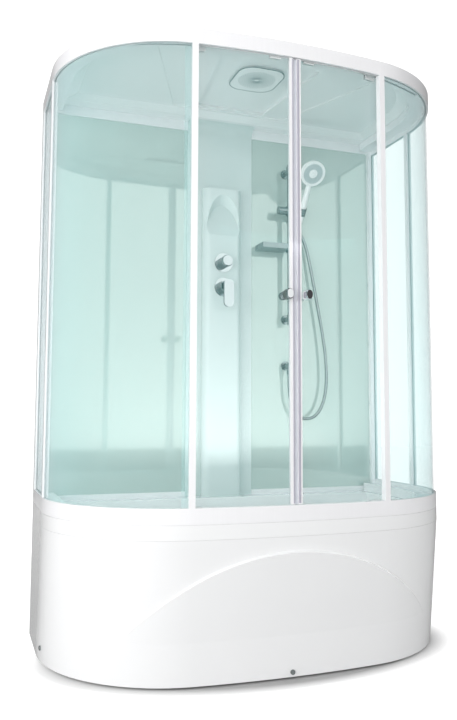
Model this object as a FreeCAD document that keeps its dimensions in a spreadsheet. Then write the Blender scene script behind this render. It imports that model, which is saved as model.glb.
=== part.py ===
"""Shower cabin with a bowed front, two sliding doors, a deep tray and a shower column.

Millimetres, +Z up, +X to the right seen from the front, +Y towards the wall behind.
The origin is on the floor under the middle of the tray.
"""
import FreeCAD, Part
import Sketcher
import math
import os
import re

VEC = FreeCAD.Vector
ROT = FreeCAD.Rotation
PLACE = FreeCAD.Placement
UP = VEC(0, 0, 1)
ACROSS = VEC(1, 0, 0)

doc = FreeCAD.newDocument("shower_cabin")
sheet = doc.addObject("Spreadsheet::Sheet", "Sizes")

SIZES = {
    # plan outline: straight sides, two round corners and a bowed front
    "width": 1500, "depth": 800, "bow_radius": 3080, "corner_radius": 455,
    # heights, from the floor up
    "tray_height": 500, "rim_height": 47, "rail_height": 50, "clear_height": 1485,
    # tray shell and its basin
    "tray_wall": 5, "rim_width": 92, "basin_depth": 350, "basin_draft": 40,
    # apron: it leans in at the front, and a panel under an arch stands proud of its face
    "apron_wall": 5, "apron_lean": 45, "apron_corner_growth": 20, "apron_gap": 6,
    "arch_radius": 700, "arch_top": 408, "arch_foot": 140, "arch_rise": 14, "arch_bevel": 5,
    "arch_foot_rise": 0.2,
    # grooves in the outer edges of the joints under the rail and under the rim
    "joint_depth": 2.5, "rail_joint": 1.2, "apron_joint": 0.8,
    # frame under the tray and its feet
    "frame_tube": 30, "frame_tube_wall": 2, "frame_length": 1100, "frame_front": 195, "frame_back": 265,
    "foot_spread": 470, "foot_pad_radius": 25, "foot_pad_height": 14, "stud_radius": 6, "stud_end_gap": 6,
    "nut_width": 10, "nut_height": 9, "thread_gap": 0.05,
    # apron fixings
    "strap_width": 30, "strap_thickness": 3, "cap_radius": 8, "cap_height": 4, "cap_shank_radius": 2.5,
    "front_cap_height": 22, "side_cap_height": 51, "side_cap_y": 52, "cap_seat_gap": 0.8,
    "strap_hole_gap": 1.2, "strap_set_back": 12,
    # waste outlet in the tray floor
    "drain_y": 40, "drain_radius": 44, "drain_wall": 3, "drain_depth": 98, "drain_flange": 12,
    "drain_flange_thickness": 3, "strainer_height": 9, "strainer_skirt": 16, "outlet_radius": 20,
    "outlet_height": 84, "outlet_wall": 2, "socket_radius": 23, "socket_length": 40,
    # rails, posts and glass
    "rail_width": 74, "fascia": 16, "lower_step": 15, "upper_step": 18, "glass": 5, "glass_inset": 8,
    "slot_gap": 0.5, "slot_depth": 12, "edge_gap": 2,
    "jamb_width": 21, "jamb_depth": 21, "jamb_overlap": 9, "corner_post_width": 20,
    "corner_post_depth": 21,
    "post_web": 4, "wall_post_width": 30, "wall_post_depth": 35, "panel_setback": 15, "panel_grip": 8,
    "trim_height": 20, "cornice_height": 40, "trim_front": 7, "trim_back": 7,
    # doors: glass arc, travel and the tracks in the rails
    "door_radius": 1350, "door_inset": 28, "door_reach": 362, "door_travel": 250, "door_gap": 6,
    "track_end_gap": 10, "track_neck": 10, "track_chamber": 24, "track_lip": 5, "track_room": 21,
    "groove_width": 8,
    "groove_depth": 16, "roller_radius": 9, "roller_width": 7, "roller_gap": 0.3, "roller_side_gap": 0.5,
    "axle_radius": 2.5, "axle_gap": 0.05, "hanger_width": 40, "hanger_plate": 4, "hanger_grip": 16,
    "hanger_lead": 318, "hanger_trail": 62, "clamp_depth": 14, "guide_width": 34, "guide_blade": 6,
    "guide_reach": 10, "stile_width": 14, "stile_front": 24, "stile_flange": 2, "stile_web": 2,
    "stile_channel": 7.5, "stile_back": 4, "stile_grip": 5, "seal_width": 6.5,
    "seal_depth": 16, "seal_gap": 0.2, "knob_x": 33, "knob_height": 1227, "knob_radius": 17.5,
    "knob_half": 12, "knob_length": 56, "knob_base_radius": 14,
    "knob_neck": 9, "knob_head": 30, "bolt_radius": 4, "bolt_gap": 0.5, "seat_gap": 0.3,
    "button_radius": 14, "button_length": 10,
    # wall column with its console
    "column_half": 146, "column_front": 4, "column_back": 11, "console_half": 84,
    "console_projection": 52,
    "console_top": 1790, "console_wall": 6, "console_round": 28, "cove_radius": 44,
    # arched niche in the console's head, on a floor that slopes back as it rises
    "niche_low": 1590, "niche_half": 78, "niche_height": 176, "niche_floor_half": 58,
    "niche_floor_height": 136, "niche_depth": 34,
    # roof
    "roof_inset": 6, "roof_wall": 4, "roof_flange": 78, "dish_rise": 15, "dish_draft": 40, "pan_rise": 12,
    "field_rise": 3, "field_back_half": 247, "field_front_half": 430, "field_front_y": -205,
    "field_back_y": 268,
    "pan_back_half": 150, "pan_front_half": 200, "pan_front_y": -225, "pan_back_y": 255,
    # rain head in the roof
    "rain_y": -47, "rain_width": 178, "rain_length": 194, "rain_round": 55, "rain_thickness": 8,
    "stem_radius": 10,
    "stem_gap": 0.5, "stem_height": 16,
    # valve, its plates and handles
    "valve_y": 364, "valve_radius": 18, "valve_margin": 40, "handle_spacing": 104,
    "mixer_height": 1368, "boss_radius": 14, "boss_gap": 0.3, "boss_proud": 7, "spindle_radius": 6,
    "spindle_length": 20, "plate_radius": 40, "plate_thickness": 4, "diverter_radius": 24,
    "diverter_length": 50,
    "hub_radius": 27, "hub_length": 42, "handle_gap": 0.5, "lever_width": 42, "lever_thickness": 11,
    "lever_above": 22, "lever_below": 92, "lever_gap": 13, "lug_width": 16, "lug_height": 16,
    "lug_reach": 14,
    "lug_side_gap": 1, "lug_swing": 5, "pin_radius": 3, "pin_gap": 0.05, "inlet_radius": 10.5,
    "inlet_length": 26, "shoulder_radius": 13, "shoulder_length": 14,
    "inlet_spread": 72, "cross_radius": 8, "pipe_radius": 8, "pipe_bend": 36, "pipe_back_gap": 10,
    "pipe_roof_gap": 34, "shank_radius": 6,
    # slide rail on the right panel
    "rail_x": 306, "rail_standoff": 55, "bar_radius": 11, "bar_wall": 1.5, "bar_length": 708,
    "bar_drop": 105, "bracket_margin": 27, "bracket_radius": 15, "bracket_height": 32,
    "arm_radius": 9,
    "rosette_radius": 20, "rosette_thickness": 6, "fit_gap": 0.05, "slide_gap": 0.1,
    # slider, holder and hand shower
    "slider_drop": 208, "slider_radius": 17, "slider_left": 55, "slider_right": 26, "pivot_radius": 6,
    "pivot_length": 9, "holder_x": 358, "holder_y": 315, "holder_tilt": 36, "holder_radius": 18,
    "holder_length": 34, "holder_gap": 0.3, "holder_boss": 13, "holder_side_gap": 0.5, "slider_tall": 40,
    "handle_radius": 14, "handle_neck": 11, "tail_length": 50, "head_distance": 176, "head_radius": 55,
    "head_front": 13, "head_back": 9, "face_radius": 43, "face_thickness": 3,
    # soap dish on the slide rail
    "dish_drop": 374, "dish_length": 132, "dish_depth": 92, "dish_tall": 22, "dish_wall": 3,
    "clamp_radius": 17,
    "clamp_height": 34, "dish_offset": 12,
    # outlet elbow and hose
    "elbow_height": 1047, "elbow_reach": 40, "elbow_radius": 11, "hose_nut_radius": 10,
    "hose_nut_length": 38,
    "hose_radius": 7, "hose_bore": 4.5, "hose_end_run": 34,
}
for row, (alias, number) in enumerate(SIZES.items(), start=1):
    sheet.set("A%d" % row, alias)
    sheet.set("B%d" % row, str(number))
    sheet.setAlias("B%d" % row, alias)
doc.recompute()

# places that follow from the sizes, written with the names of the sheet
FRONT = "(-depth / 2)"
BACK = "(depth / 2)"
HALF = "(width / 2)"
BOW_Y = "(bow_radius - depth / 2)"
CORNER_X = "(width / 2 - corner_radius)"
CORNER_Y = BOW_Y + " - sqrt((bow_radius - corner_radius)^2 - %s^2)" % CORNER_X
CORNER_Y = "(" + CORNER_Y + ")"
LEAN = "asin(%s / (bow_radius - corner_radius))" % CORNER_X
RIM_BASE = "(tray_height - rim_height)"
BASIN_FLOOR = "(tray_height - basin_depth)"
FLOOR_BASE = "(tray_height - basin_depth - tray_wall)"
FRAME_BASE = "(%s - frame_tube)" % FLOOR_BASE
SILL = "(tray_height + rail_height)"
LINTEL = "(tray_height + rail_height + clear_height)"
EAVES = "(tray_height + 2 * rail_height + clear_height)"
LOWER_RUN = "(%s - lower_step)" % SILL
UPPER_RUN = "(%s + upper_step)" % LINTEL
DOOR_Y = "(door_inset + door_radius - depth / 2)"
PANEL_Y = "(depth / 2 - panel_setback)"
POST_FRONT = "(depth / 2 - wall_post_depth)"
POST_SIDE = "(width / 2 - wall_post_width)"
COLUMN_FRONT = "(%s - column_front)" % PANEL_Y
COLUMN_BACK = "(%s + column_back)" % PANEL_Y
CONSOLE_Y = "(%s - console_projection)" % COLUMN_FRONT
FIELD = "(%s + dish_rise + field_rise)" % EAVES
PAN = "(%s + pan_rise)" % FIELD
RAIL_Y = "(%s - rail_standoff)" % PANEL_Y
BAR_TOP = "(%s - bar_drop)" % LINTEL
BAR_BASE = "(%s - bar_length)" % BAR_TOP
BRACKETS = {"low": BAR_BASE + " + bracket_margin", "high": BAR_TOP + " - bracket_margin"}
SLIDER_Z = "(%s - slider_drop)" % BAR_TOP
DISH_Z = "(%s - dish_drop)" % BAR_TOP
DIVERTER_Z = "(mixer_height + handle_spacing)"
VALVE_BASE = "(mixer_height - valve_margin)"
VALVE_HEAD = "(mixer_height + handle_spacing + valve_margin)"
TRACK_END = "(hanger_lead + door_travel + track_end_gap)"

WORD = re.compile(r"[a-z_][a-z0-9_]*")


def tied(expression):
    """The expression with every size name turned into a reference to its cell."""
    return WORD.sub(lambda m: "Sizes." + m.group(0) if m.group(0) in SIZES else m.group(0), expression)


def value(expression):
    """The number that an expression gives with the sheet as it is."""
    result = sheet.evalExpression(tied(expression))
    return float(getattr(result, "Value", result))


def bind(thing, **expressions):
    """Bind properties of a document object to expressions on the sheet."""
    for name, expression in expressions.items():
        thing.setExpression(name, tied(expression))
    return thing


def place(thing, x="0", y="0", z="0"):
    """Bind where an object stands."""
    for axis, expression in (("x", x), ("y", y), ("z", z)):
        thing.setExpression("Placement.Base." + axis, tied(expression))
    return thing


def turn(thing, axis, angle):
    """Turn an object about an axis by an angle bound to the sheet, in degrees."""
    thing.Placement = PLACE(VEC(), ROT(axis, value(angle)))
    thing.setExpression("Placement.Rotation.Angle", tied(angle))
    return thing


def box(name, x, y, z):
    """A block between pairs of expressions for its low and high sides."""
    thing = doc.addObject("Part::Box", name)
    bind(thing, Length="%s - (%s)" % (x[1], x[0]), Width="%s - (%s)" % (y[1], y[0]),
         Height="%s - (%s)" % (z[1], z[0]))
    return place(thing, x[0], y[0], z[0])


TURNS = {"+z": ROT(), "-z": ROT(ACROSS, 180), "-y": ROT(ACROSS, 90), "+y": ROT(ACROSS, -90),
         "+x": ROT(VEC(0, 1, 0), 90), "-x": ROT(VEC(0, 1, 0), -90)}


def rod(name, radius, length, start, along="+z"):
    """A cylinder from a start point along one axis."""
    thing = doc.addObject("Part::Cylinder", name)
    thing.Placement = PLACE(VEC(), TURNS[along])
    bind(thing, Radius=radius, Height=length)
    return place(thing, *start)


def cone(name, radius, end_radius, length, start, along="+z"):
    """A cone from a start point along one axis."""
    thing = doc.addObject("Part::Cone", name)
    thing.Placement = PLACE(VEC(), TURNS[along])
    bind(thing, Radius1=radius, Radius2=end_radius, Height=length)
    return place(thing, *start)


def fuse(name, *pieces):
    thing = doc.addObject("Part::MultiFuse", name)
    thing.Shapes = list(pieces)
    thing.Refine = True
    return thing


def cut(name, base, *tools):
    thing = doc.addObject("Part::Cut", name)
    thing.Base = base
    thing.Tool = tools[0] if len(tools) == 1 else group(name + "_tools", *tools)
    thing.Refine = True
    return thing


def common(name, first, second):
    thing = doc.addObject("Part::Common", name)
    thing.Base = first
    thing.Tool = second
    return thing


def group(name, *pieces):
    thing = doc.addObject("Part::Compound", name)
    thing.Links = list(pieces)
    return thing


def mirrored(name, source):
    """The same piece on the left, reflected in the plane through the middle."""
    thing = doc.addObject("Part::Mirroring", name)
    thing.Source = source
    thing.Normal = ACROSS
    return thing


NODES = []


def node(thing, name):
    """Name a finished piece, which is written to a file of that name."""
    thing.Label = name
    NODES.append(thing)
    return thing


def pair(right, name):
    """A right-hand piece and its mirror image on the left."""
    node(right, "right_" + name)
    return node(mirrored("left_" + name, right), "left_" + name)


# sketches


def new_body(name):
    return doc.addObject("PartDesign::Body", name)


def sketch_on(body, name, role="XY_Plane", offset="0"):
    """A sketch on one of the body's own origin planes, moved along its normal."""
    sketch = body.newObject("Sketcher::SketchObject", name)
    plane = [f for f in body.Origin.OriginFeatures if f.Role == role]
    sketch.AttachmentSupport = (plane[0], "")
    sketch.MapMode = "FlatFace"
    sketch.AttachmentOffset = PLACE(VEC(0, 0, value(offset)), ROT())
    sketch.setExpression("AttachmentOffset.Base.z", tied(offset))
    return sketch


def limit(sketch, kind, *where, to):
    """A dimension of a sketch bound to an expression."""
    index = sketch.addConstraint(Sketcher.Constraint(kind, *where, value(to)))
    sketch.setExpression("Constraints[%d]" % index, tied(to))


def join(sketch, kind, *where):
    sketch.addConstraint(Sketcher.Constraint(kind, *where))


def at(sketch, geometry, point, x=None, y=None):
    """Hold a point of the sketch at coordinates from its origin."""
    if x is not None:
        limit(sketch, "DistanceX", -1, 1, geometry, point, to=x)
    if y is not None:
        limit(sketch, "DistanceY", -1, 1, geometry, point, to=y)


def bow_run(sketch, inset, back, lean="0", growth="0"):
    """Side line, corner arc, bowed front, corner arc and side line, parallel to the outline.

    lean moves the front inwards, and growth makes the corners rounder. Returns the two free ends.
    """
    half = "(width / 2 - (%s))" % inset
    front = "(%s + (%s) + (%s))" % (FRONT, inset, lean)
    bow = "(bow_radius - (%s))" % inset
    corner = "(corner_radius + (%s) - (%s))" % (growth, inset)
    side, bow_r, corner_r = value(half), value(bow), value(corner)
    bow_y = value(front) + bow_r
    corner_x = side - corner_r
    corner_y = bow_y - math.sqrt((bow_r - corner_r) ** 2 - corner_x ** 2)
    tip = math.asin(corner_x / (bow_r - corner_r))
    down = 1.5 * math.pi
    end = value(back)
    left = sketch.addGeometry(Part.LineSegment(VEC(-side, end), VEC(-side, corner_y)))
    circle = Part.Circle(VEC(-corner_x, corner_y), UP, corner_r)
    left_arc = sketch.addGeometry(Part.ArcOfCircle(circle, math.pi, down - tip))
    circle = Part.Circle(VEC(0, bow_y), UP, bow_r)
    front_arc = sketch.addGeometry(Part.ArcOfCircle(circle, down - tip, down + tip))
    circle = Part.Circle(VEC(corner_x, corner_y), UP, corner_r)
    right_arc = sketch.addGeometry(Part.ArcOfCircle(circle, down + tip, 2 * math.pi))
    right = sketch.addGeometry(Part.LineSegment(VEC(side, corner_y), VEC(side, end)))
    run = [left, left_arc, front_arc, right_arc, right]
    for first, second in zip(run, run[1:]):
        join(sketch, "Tangent", first, 2, second, 1)
    join(sketch, "Vertical", left)
    join(sketch, "Vertical", right)
    limit(sketch, "Radius", left_arc, to=corner)
    limit(sketch, "Radius", right_arc, to=corner)
    limit(sketch, "Radius", front_arc, to=bow)
    join(sketch, "PointOnObject", front_arc, 3, -2)
    at(sketch, front_arc, 3, y="%s + %s" % (front, bow))
    at(sketch, left, 1, x="-" + half, y=back)
    at(sketch, right, 2, x=half, y=back)
    return (left, 1), (right, 2)


def close(sketch, first, second):
    """A straight line between two free ends."""
    start, end = sketch.getPoint(*first), sketch.getPoint(*second)
    line = sketch.addGeometry(Part.LineSegment(start, end))
    join(sketch, "Coincident", line, 1, *first)
    join(sketch, "Coincident", line, 2, *second)


def bow_area(sketch, inset, back=None, **shape):
    """The closed outline, parallel to the cabin's plan."""
    ends = bow_run(sketch, inset, back or "%s - (%s)" % (BACK, inset), **shape)
    close(sketch, *ends)


def bow_band(sketch, outer, inner, back, **shape):
    """A band along the sides and the front, between two insets."""
    outer_ends = bow_run(sketch, outer, back, **shape)
    inner_ends = bow_run(sketch, inner, back, **shape)
    for first, second in zip(outer_ends, inner_ends):
        close(sketch, first, second)


def arc_band(sketch, inner, outer, x_low, x_high):
    """Part of a ring about the doors' centre, between two upright ends."""
    centre_y = value(DOOR_Y)
    arcs = []
    for radius in (inner, outer):
        size = value(radius)
        angles = [1.5 * math.pi + math.asin(value(x) / size) for x in (x_low, x_high)]
        arc = sketch.addGeometry(Part.ArcOfCircle(Part.Circle(VEC(0, centre_y), UP, size), *angles))
        limit(sketch, "Radius", arc, to=radius)
        join(sketch, "PointOnObject", arc, 3, -2)
        at(sketch, arc, 3, y=DOOR_Y)
        at(sketch, arc, 1, x=x_low)
        at(sketch, arc, 2, x=x_high)
        arcs.append(arc)
    for end in (1, 2):
        close(sketch, (arcs[0], end), (arcs[1], end))


def polygon(sketch, corners):
    """A closed outline of straight lines through corners given by expressions."""
    points = [VEC(value(x), value(y)) for x, y in corners]
    lines = []
    for start, end in zip(points, points[1:] + points[:1]):
        lines.append(sketch.addGeometry(Part.LineSegment(start, end)))
    for first, second in zip(lines, lines[1:] + lines[:1]):
        join(sketch, "Coincident", first, 2, second, 1)
    for line, (x, y) in zip(lines, corners):
        at(sketch, line, 1, x=x, y=y)


def rounded(sketch, x, y, radius):
    """A rectangle with round corners, between pairs of expressions."""
    x0, x1, y0, y1 = value(x[0]), value(x[1]), value(y[0]), value(y[1])
    size = value(radius)
    runs = [((x0 + size, y0), (x1 - size, y0)), ((x1, y0 + size), (x1, y1 - size)),
            ((x1 - size, y1), (x0 + size, y1)), ((x0, y1 - size), (x0, y0 + size))]
    centres = [(x1 - size, y0 + size), (x1 - size, y1 - size), (x0 + size, y1 - size),
               (x0 + size, y0 + size)]
    lines = [sketch.addGeometry(Part.LineSegment(VEC(*a), VEC(*b))) for a, b in runs]
    arcs = []
    for quarter, centre in enumerate(centres):
        start = (quarter - 1) * math.pi / 2
        circle = Part.Circle(VEC(*centre), UP, size)
        arcs.append(sketch.addGeometry(Part.ArcOfCircle(circle, start, start + math.pi / 2)))
    for side in range(4):
        join(sketch, "Tangent", lines[side], 2, arcs[side], 1)
        join(sketch, "Tangent", arcs[side], 2, lines[(side + 1) % 4], 1)
        limit(sketch, "Radius", arcs[side], to=radius)
    for line in (lines[0], lines[2]):
        join(sketch, "Horizontal", line)
    for line in (lines[1], lines[3]):
        join(sketch, "Vertical", line)
    at(sketch, lines[0], 1, y=y[0])
    at(sketch, lines[2], 1, y=y[1])
    at(sketch, lines[1], 1, x=x[1])
    at(sketch, lines[3], 1, x=x[0])


def pad(body, sketch, length):
    """Raise a sketch upwards."""
    feature = body.newObject("PartDesign::Pad", sketch.Name + "_pad")
    feature.Profile = sketch
    sketch.Visibility = False
    return bind(feature, Length=length)


def pocket(body, sketch, length, upwards=True):
    """Cut along the sketch's normal, or against it, and make sure that it took something away."""
    doc.recompute()
    before = body.Shape.Volume
    feature = body.newObject("PartDesign::Pocket", sketch.Name + "_pocket")
    feature.Profile = sketch
    feature.Reversed = upwards
    bind(feature, Length=length)
    doc.recompute()
    if body.Shape.Volume > before - 1:
        raise RuntimeError(feature.Name + " cuts nothing")
    return feature


def loft(body, kind, first, second):
    """A ruled loft between two sketches, added or taken away."""
    feature = body.newObject("PartDesign::" + kind, first.Name + "_loft")
    feature.Profile = first
    feature.Sections = [second]
    feature.Ruled = True
    return feature


# tubes along runs and arcs


def rounded_path(points, bend):
    """Straight runs joined by tangent arcs, with the arcs' radii. bend gives each corner's radius."""
    edges, radii = [], []
    start = points[0]
    for before, corner, after in zip(points, points[1:], points[2:]):
        come = (corner - before).normalize()
        leave = (after - corner).normalize()
        half = come.getAngle(leave) / 2
        reach = bend(before, corner, after) * math.tan(half)
        first, last = corner - come * reach, corner + leave * reach
        middle = corner + (leave - come).normalize() * (reach / math.sin(half) - reach / math.tan(half)) \
            if half > 0 else corner
        edges.append(Part.LineSegment(start, first).toShape())
        edges.append(Part.Arc(first, middle, last).toShape())
        radii.append(reach / math.tan(half))
        start = last
    edges.append(Part.LineSegment(start, points[-1]).toShape())
    return Part.Wire(edges), radii


def tube(name, points, radius, bend, bore=None):
    """A round tube along a path, whose volume has to be its section times its length."""
    wire, radii = rounded_path(points, bend)
    along = points[1] - points[0]
    solid = Part.Wire(Part.Circle(points[0], along, radius).toShape())
    shape = wire.makePipeShell([solid], True, False)
    section = math.pi * radius ** 2
    if bore:
        hole = Part.Wire(Part.Circle(points[0], along, bore).toShape())
        shape = shape.cut(wire.makePipeShell([hole], True, False))
        section -= math.pi * bore ** 2
    if abs(shape.Volume / (section * wire.Length) - 1) > 0.01:
        raise RuntimeError(name + " has the wrong volume")
    thing = doc.addObject("Part::Feature", name)
    thing.Shape = shape
    return thing, wire, radii


# tray


def shower_tray():
    """Moulded tray: a rim with a turned-down edge and a deep basin with sloping walls."""
    body = new_body("tray_body")
    rim = sketch_on(body, "tray_rim", offset=RIM_BASE)
    bow_area(rim, "0")
    pad(body, rim, "rim_height")
    under = sketch_on(body, "tray_under", offset=RIM_BASE)
    bow_area(under, "tray_wall")
    pocket(body, under, "rim_height - tray_wall")
    groove = sketch_on(body, "tray_groove", offset="tray_height - rail_joint")
    bow_band(groove, "-joint_depth", "joint_depth", BACK)
    pocket(body, groove, "rail_joint")
    sections = []
    for name, wall, floor in (("outer", "tray_wall", FLOOR_BASE), ("inner", "0", BASIN_FLOOR)):
        top = sketch_on(body, "basin_%s_top" % name, offset="tray_height")
        bow_area(top, "rim_width - " + wall)
        bottom = sketch_on(body, "basin_%s_floor" % name, offset=floor)
        bow_area(bottom, "rim_width + basin_draft - " + wall)
        sections.append((top, bottom))
    loft(body, "AdditiveLoft", *sections[0])
    loft(body, "SubtractiveLoft", *sections[1])
    hole = rod("tray_drain_hole", "drain_radius + slot_gap", "3 * tray_wall",
               ("0", "drain_y", FLOOR_BASE + " - tray_wall"))
    node(cut("tray", body, hole), "shower_tray")


def apron_shell(name, depth):
    """The leaning band of the apron, from its face to a depth behind it."""
    body = new_body(name)
    top = sketch_on(body, name + "_top", offset=RIM_BASE)
    bow_band(top, "0", depth, BACK)
    foot = sketch_on(body, name + "_foot", offset="apron_gap")
    bow_band(foot, "0", depth, BACK, lean="apron_lean", growth="apron_corner_growth")
    loft(body, "AdditiveLoft", top, foot)
    return body


ARCH_STEPS = 32


def arch_panel(skin):
    """Raised panel on the apron: a bevel along the arch, and a face that sinks to the skin at its foot."""
    radius, top, foot = value("arch_radius"), value("arch_top"), value("arch_foot")
    rise, least, bevel = value("arch_rise"), value("arch_foot_rise"), value("arch_bevel")
    root, room = value("apron_wall") / 2, value("depth")

    def face(x, z):
        line = Part.makeLine(VEC(x, -room, z), VEC(x, 0, z))
        return min(corner.Y for corner in skin.Shape.common(line).Vertexes)

    doc.recompute()
    reach = math.acos(1 - (top - foot - 2 * bevel) / radius)
    sections = []
    for step in range(ARCH_STEPS + 1):
        angle = reach * (2 * step / ARCH_STEPS - 1)
        x, crest = radius * math.sin(angle), top - radius * (1 - math.cos(angle))
        edge = crest - bevel
        proud = least + (rise - least) * (edge - foot) / (top - bevel - foot)
        corners = [VEC(x, face(x, crest) + root, crest + bevel * root / rise),
                   VEC(x, face(x, edge) - proud, edge), VEC(x, face(x, foot) - least, foot),
                   VEC(x, face(x, foot) + root, foot)]
        sections.append(Part.makePolygon(corners + corners[:1]))
    thing = doc.addObject("Part::Feature", "arch_panel")
    thing.Shape = Part.makeLoft(sections, True, False)
    return thing


def front_apron():
    """Panel round the front and the sides of the tray, with a raised panel under an arch in front."""
    skin = apron_shell("apron_skin", "apron_wall")
    whole = fuse("apron_whole", skin, arch_panel(skin))
    groove = new_body("apron_groove_body")
    edge = sketch_on(groove, "apron_groove", offset=RIM_BASE + " - apron_joint")
    bow_band(edge, "-joint_depth", "joint_depth", BACK)
    pad(groove, edge, "2 * apron_joint")
    holes = [groove, rod("apron_hole_front", "cap_shank_radius + slot_gap", "depth / 2",
                 ("0", "0", "front_cap_height"), "-y")]
    side = rod("apron_hole_rod", "cap_shank_radius + slot_gap", "8 * apron_wall",
               ("-4 * apron_wall", "0", "0"), "+x")
    right = at_side_cap(group("apron_hole_right", side))
    holes += [right, mirrored("apron_hole_left", right)]
    node(cut("apron", whole, *holes), "front_apron")


# the apron's corner curves at its top and at its foot, where the side screws are
FOOT_X = "(width / 2 - corner_radius - apron_corner_growth)"
FOOT_REACH = "(bow_radius - corner_radius - apron_corner_growth)"
FOOT_Y = "(%s + apron_lean - sqrt(%s^2 - %s^2))" % (BOW_Y, FOOT_REACH, FOOT_X)
FOOT_SINE = "((%s - side_cap_y) / (corner_radius + apron_corner_growth))" % FOOT_Y
TOP_SINE = "((%s - side_cap_y) / corner_radius)" % CORNER_Y
FOOT_SIDE = "(%s + (corner_radius + apron_corner_growth) * sqrt(1 - %s^2))" % (FOOT_X, FOOT_SINE)
TOP_SIDE = "(%s + corner_radius * sqrt(1 - %s^2))" % (CORNER_X, TOP_SINE)
CAP_SHARE = "((side_cap_height - apron_gap) / (%s - apron_gap))" % RIM_BASE
CAP_X = "(%s * (1 - %s) + %s * %s)" % (FOOT_SIDE, CAP_SHARE, TOP_SIDE, CAP_SHARE)
CAP_TURN = "(asin(%s) * (1 - %s) + asin(%s) * %s)" % (FOOT_SINE, CAP_SHARE, TOP_SINE, CAP_SHARE)


def at_side_cap(thing):
    """Stand a piece made along +X at the origin on the apron's side, square to its face."""
    turn(thing, UP, "-" + CAP_TURN)
    return place(thing, CAP_X + " + cap_seat_gap", "side_cap_y", "side_cap_height")


FEET = [("-foot_spread", "-frame_front + frame_tube / 2"), ("0", "-frame_front + frame_tube / 2"),
        ("foot_spread", "-frame_front + frame_tube / 2"), ("-foot_spread", "frame_back - frame_tube / 2"),
        ("foot_spread", "frame_back - frame_tube / 2")]


def tray_frame():
    """Welded frame of square tube under the basin, with holes for the feet."""
    ends = ("-frame_length / 2", "frame_length / 2")
    height = (FRAME_BASE, FLOOR_BASE)
    hollow = (FRAME_BASE + " + frame_tube_wall", FLOOR_BASE + " - frame_tube_wall")
    sides = {"front": ("-frame_front", "-frame_front + frame_tube"),
             "back": ("frame_back - frame_tube", "frame_back")}
    tubes, cores = [], []
    for name, span in sides.items():
        inner = (span[0] + " + frame_tube_wall", span[1] + " - frame_tube_wall")
        tubes.append(box("bearer_" + name, ends, span, height))
        cores.append(box("bearer_core_" + name, ends, inner, hollow))
    for name, low in (("left", "-frame_length / 2"), ("right", "frame_length / 2 - frame_tube")):
        tubes.append(box("cross_" + name, (low, low + " + frame_tube"), ("-frame_front", "frame_back"),
                         height))
        cores.append(box("cross_core_" + name, (low + " + frame_tube_wall",
                                                low + " + frame_tube - frame_tube_wall"),
                         ("-frame_front + frame_tube_wall", "frame_back - frame_tube_wall"), hollow))
    for index, (x, y) in enumerate(FEET):
        cores.append(rod("foot_hole_%d" % index, "stud_radius + slot_gap", "frame_tube / 2",
                         (x, y, FRAME_BASE + " - frame_tube_wall")))
    node(cut("frame", fuse("frame_tubes", *tubes), *cores), "tray_frame")


def feet():
    """Rubber pads, threaded studs and the nuts that lock them under the frame."""
    pads, studs, nuts = [], [], []
    for index, (x, y) in enumerate(FEET):
        disc = cone("pad_disc_%d" % index, "foot_pad_radius", "foot_pad_radius * 0.7", "foot_pad_height",
                    (x, y, "0"))
        socket = rod("pad_socket_%d" % index, "stud_radius + thread_gap", "foot_pad_height",
                     (x, y, "foot_pad_height / 2"))
        pads.append(cut("pad_%d" % index, disc, socket))
        studs.append(rod("stud_%d" % index, "stud_radius",
                         FLOOR_BASE + " - frame_tube_wall - stud_end_gap - foot_pad_height / 2",
                         (x, y, "foot_pad_height / 2")))
        prism = doc.addObject("Part::Prism", "nut_prism_%d" % index)
        bind(prism, Circumradius="nut_width", Height="nut_height")
        place(prism, x, y, FRAME_BASE + " - nut_height")
        bore = rod("nut_bore_%d" % index, "stud_radius + thread_gap", "3 * nut_height",
                   (x, y, FRAME_BASE + " - 2 * nut_height"))
        nuts.append(cut("nut_%d" % index, prism, bore))
    node(group("foot_pad_set", *pads), "foot_pads")
    node(group("foot_stud_set", *studs), "foot_studs")
    node(group("foot_nut_set", *nuts), "foot_nuts")


APRON_SLOPE = "(apron_lean / (%s - apron_gap))" % RIM_BASE
APRON_FRONT = "(%s + apron_lean - (front_cap_height - apron_gap) * %s)" % (FRONT, APRON_SLOPE)


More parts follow.
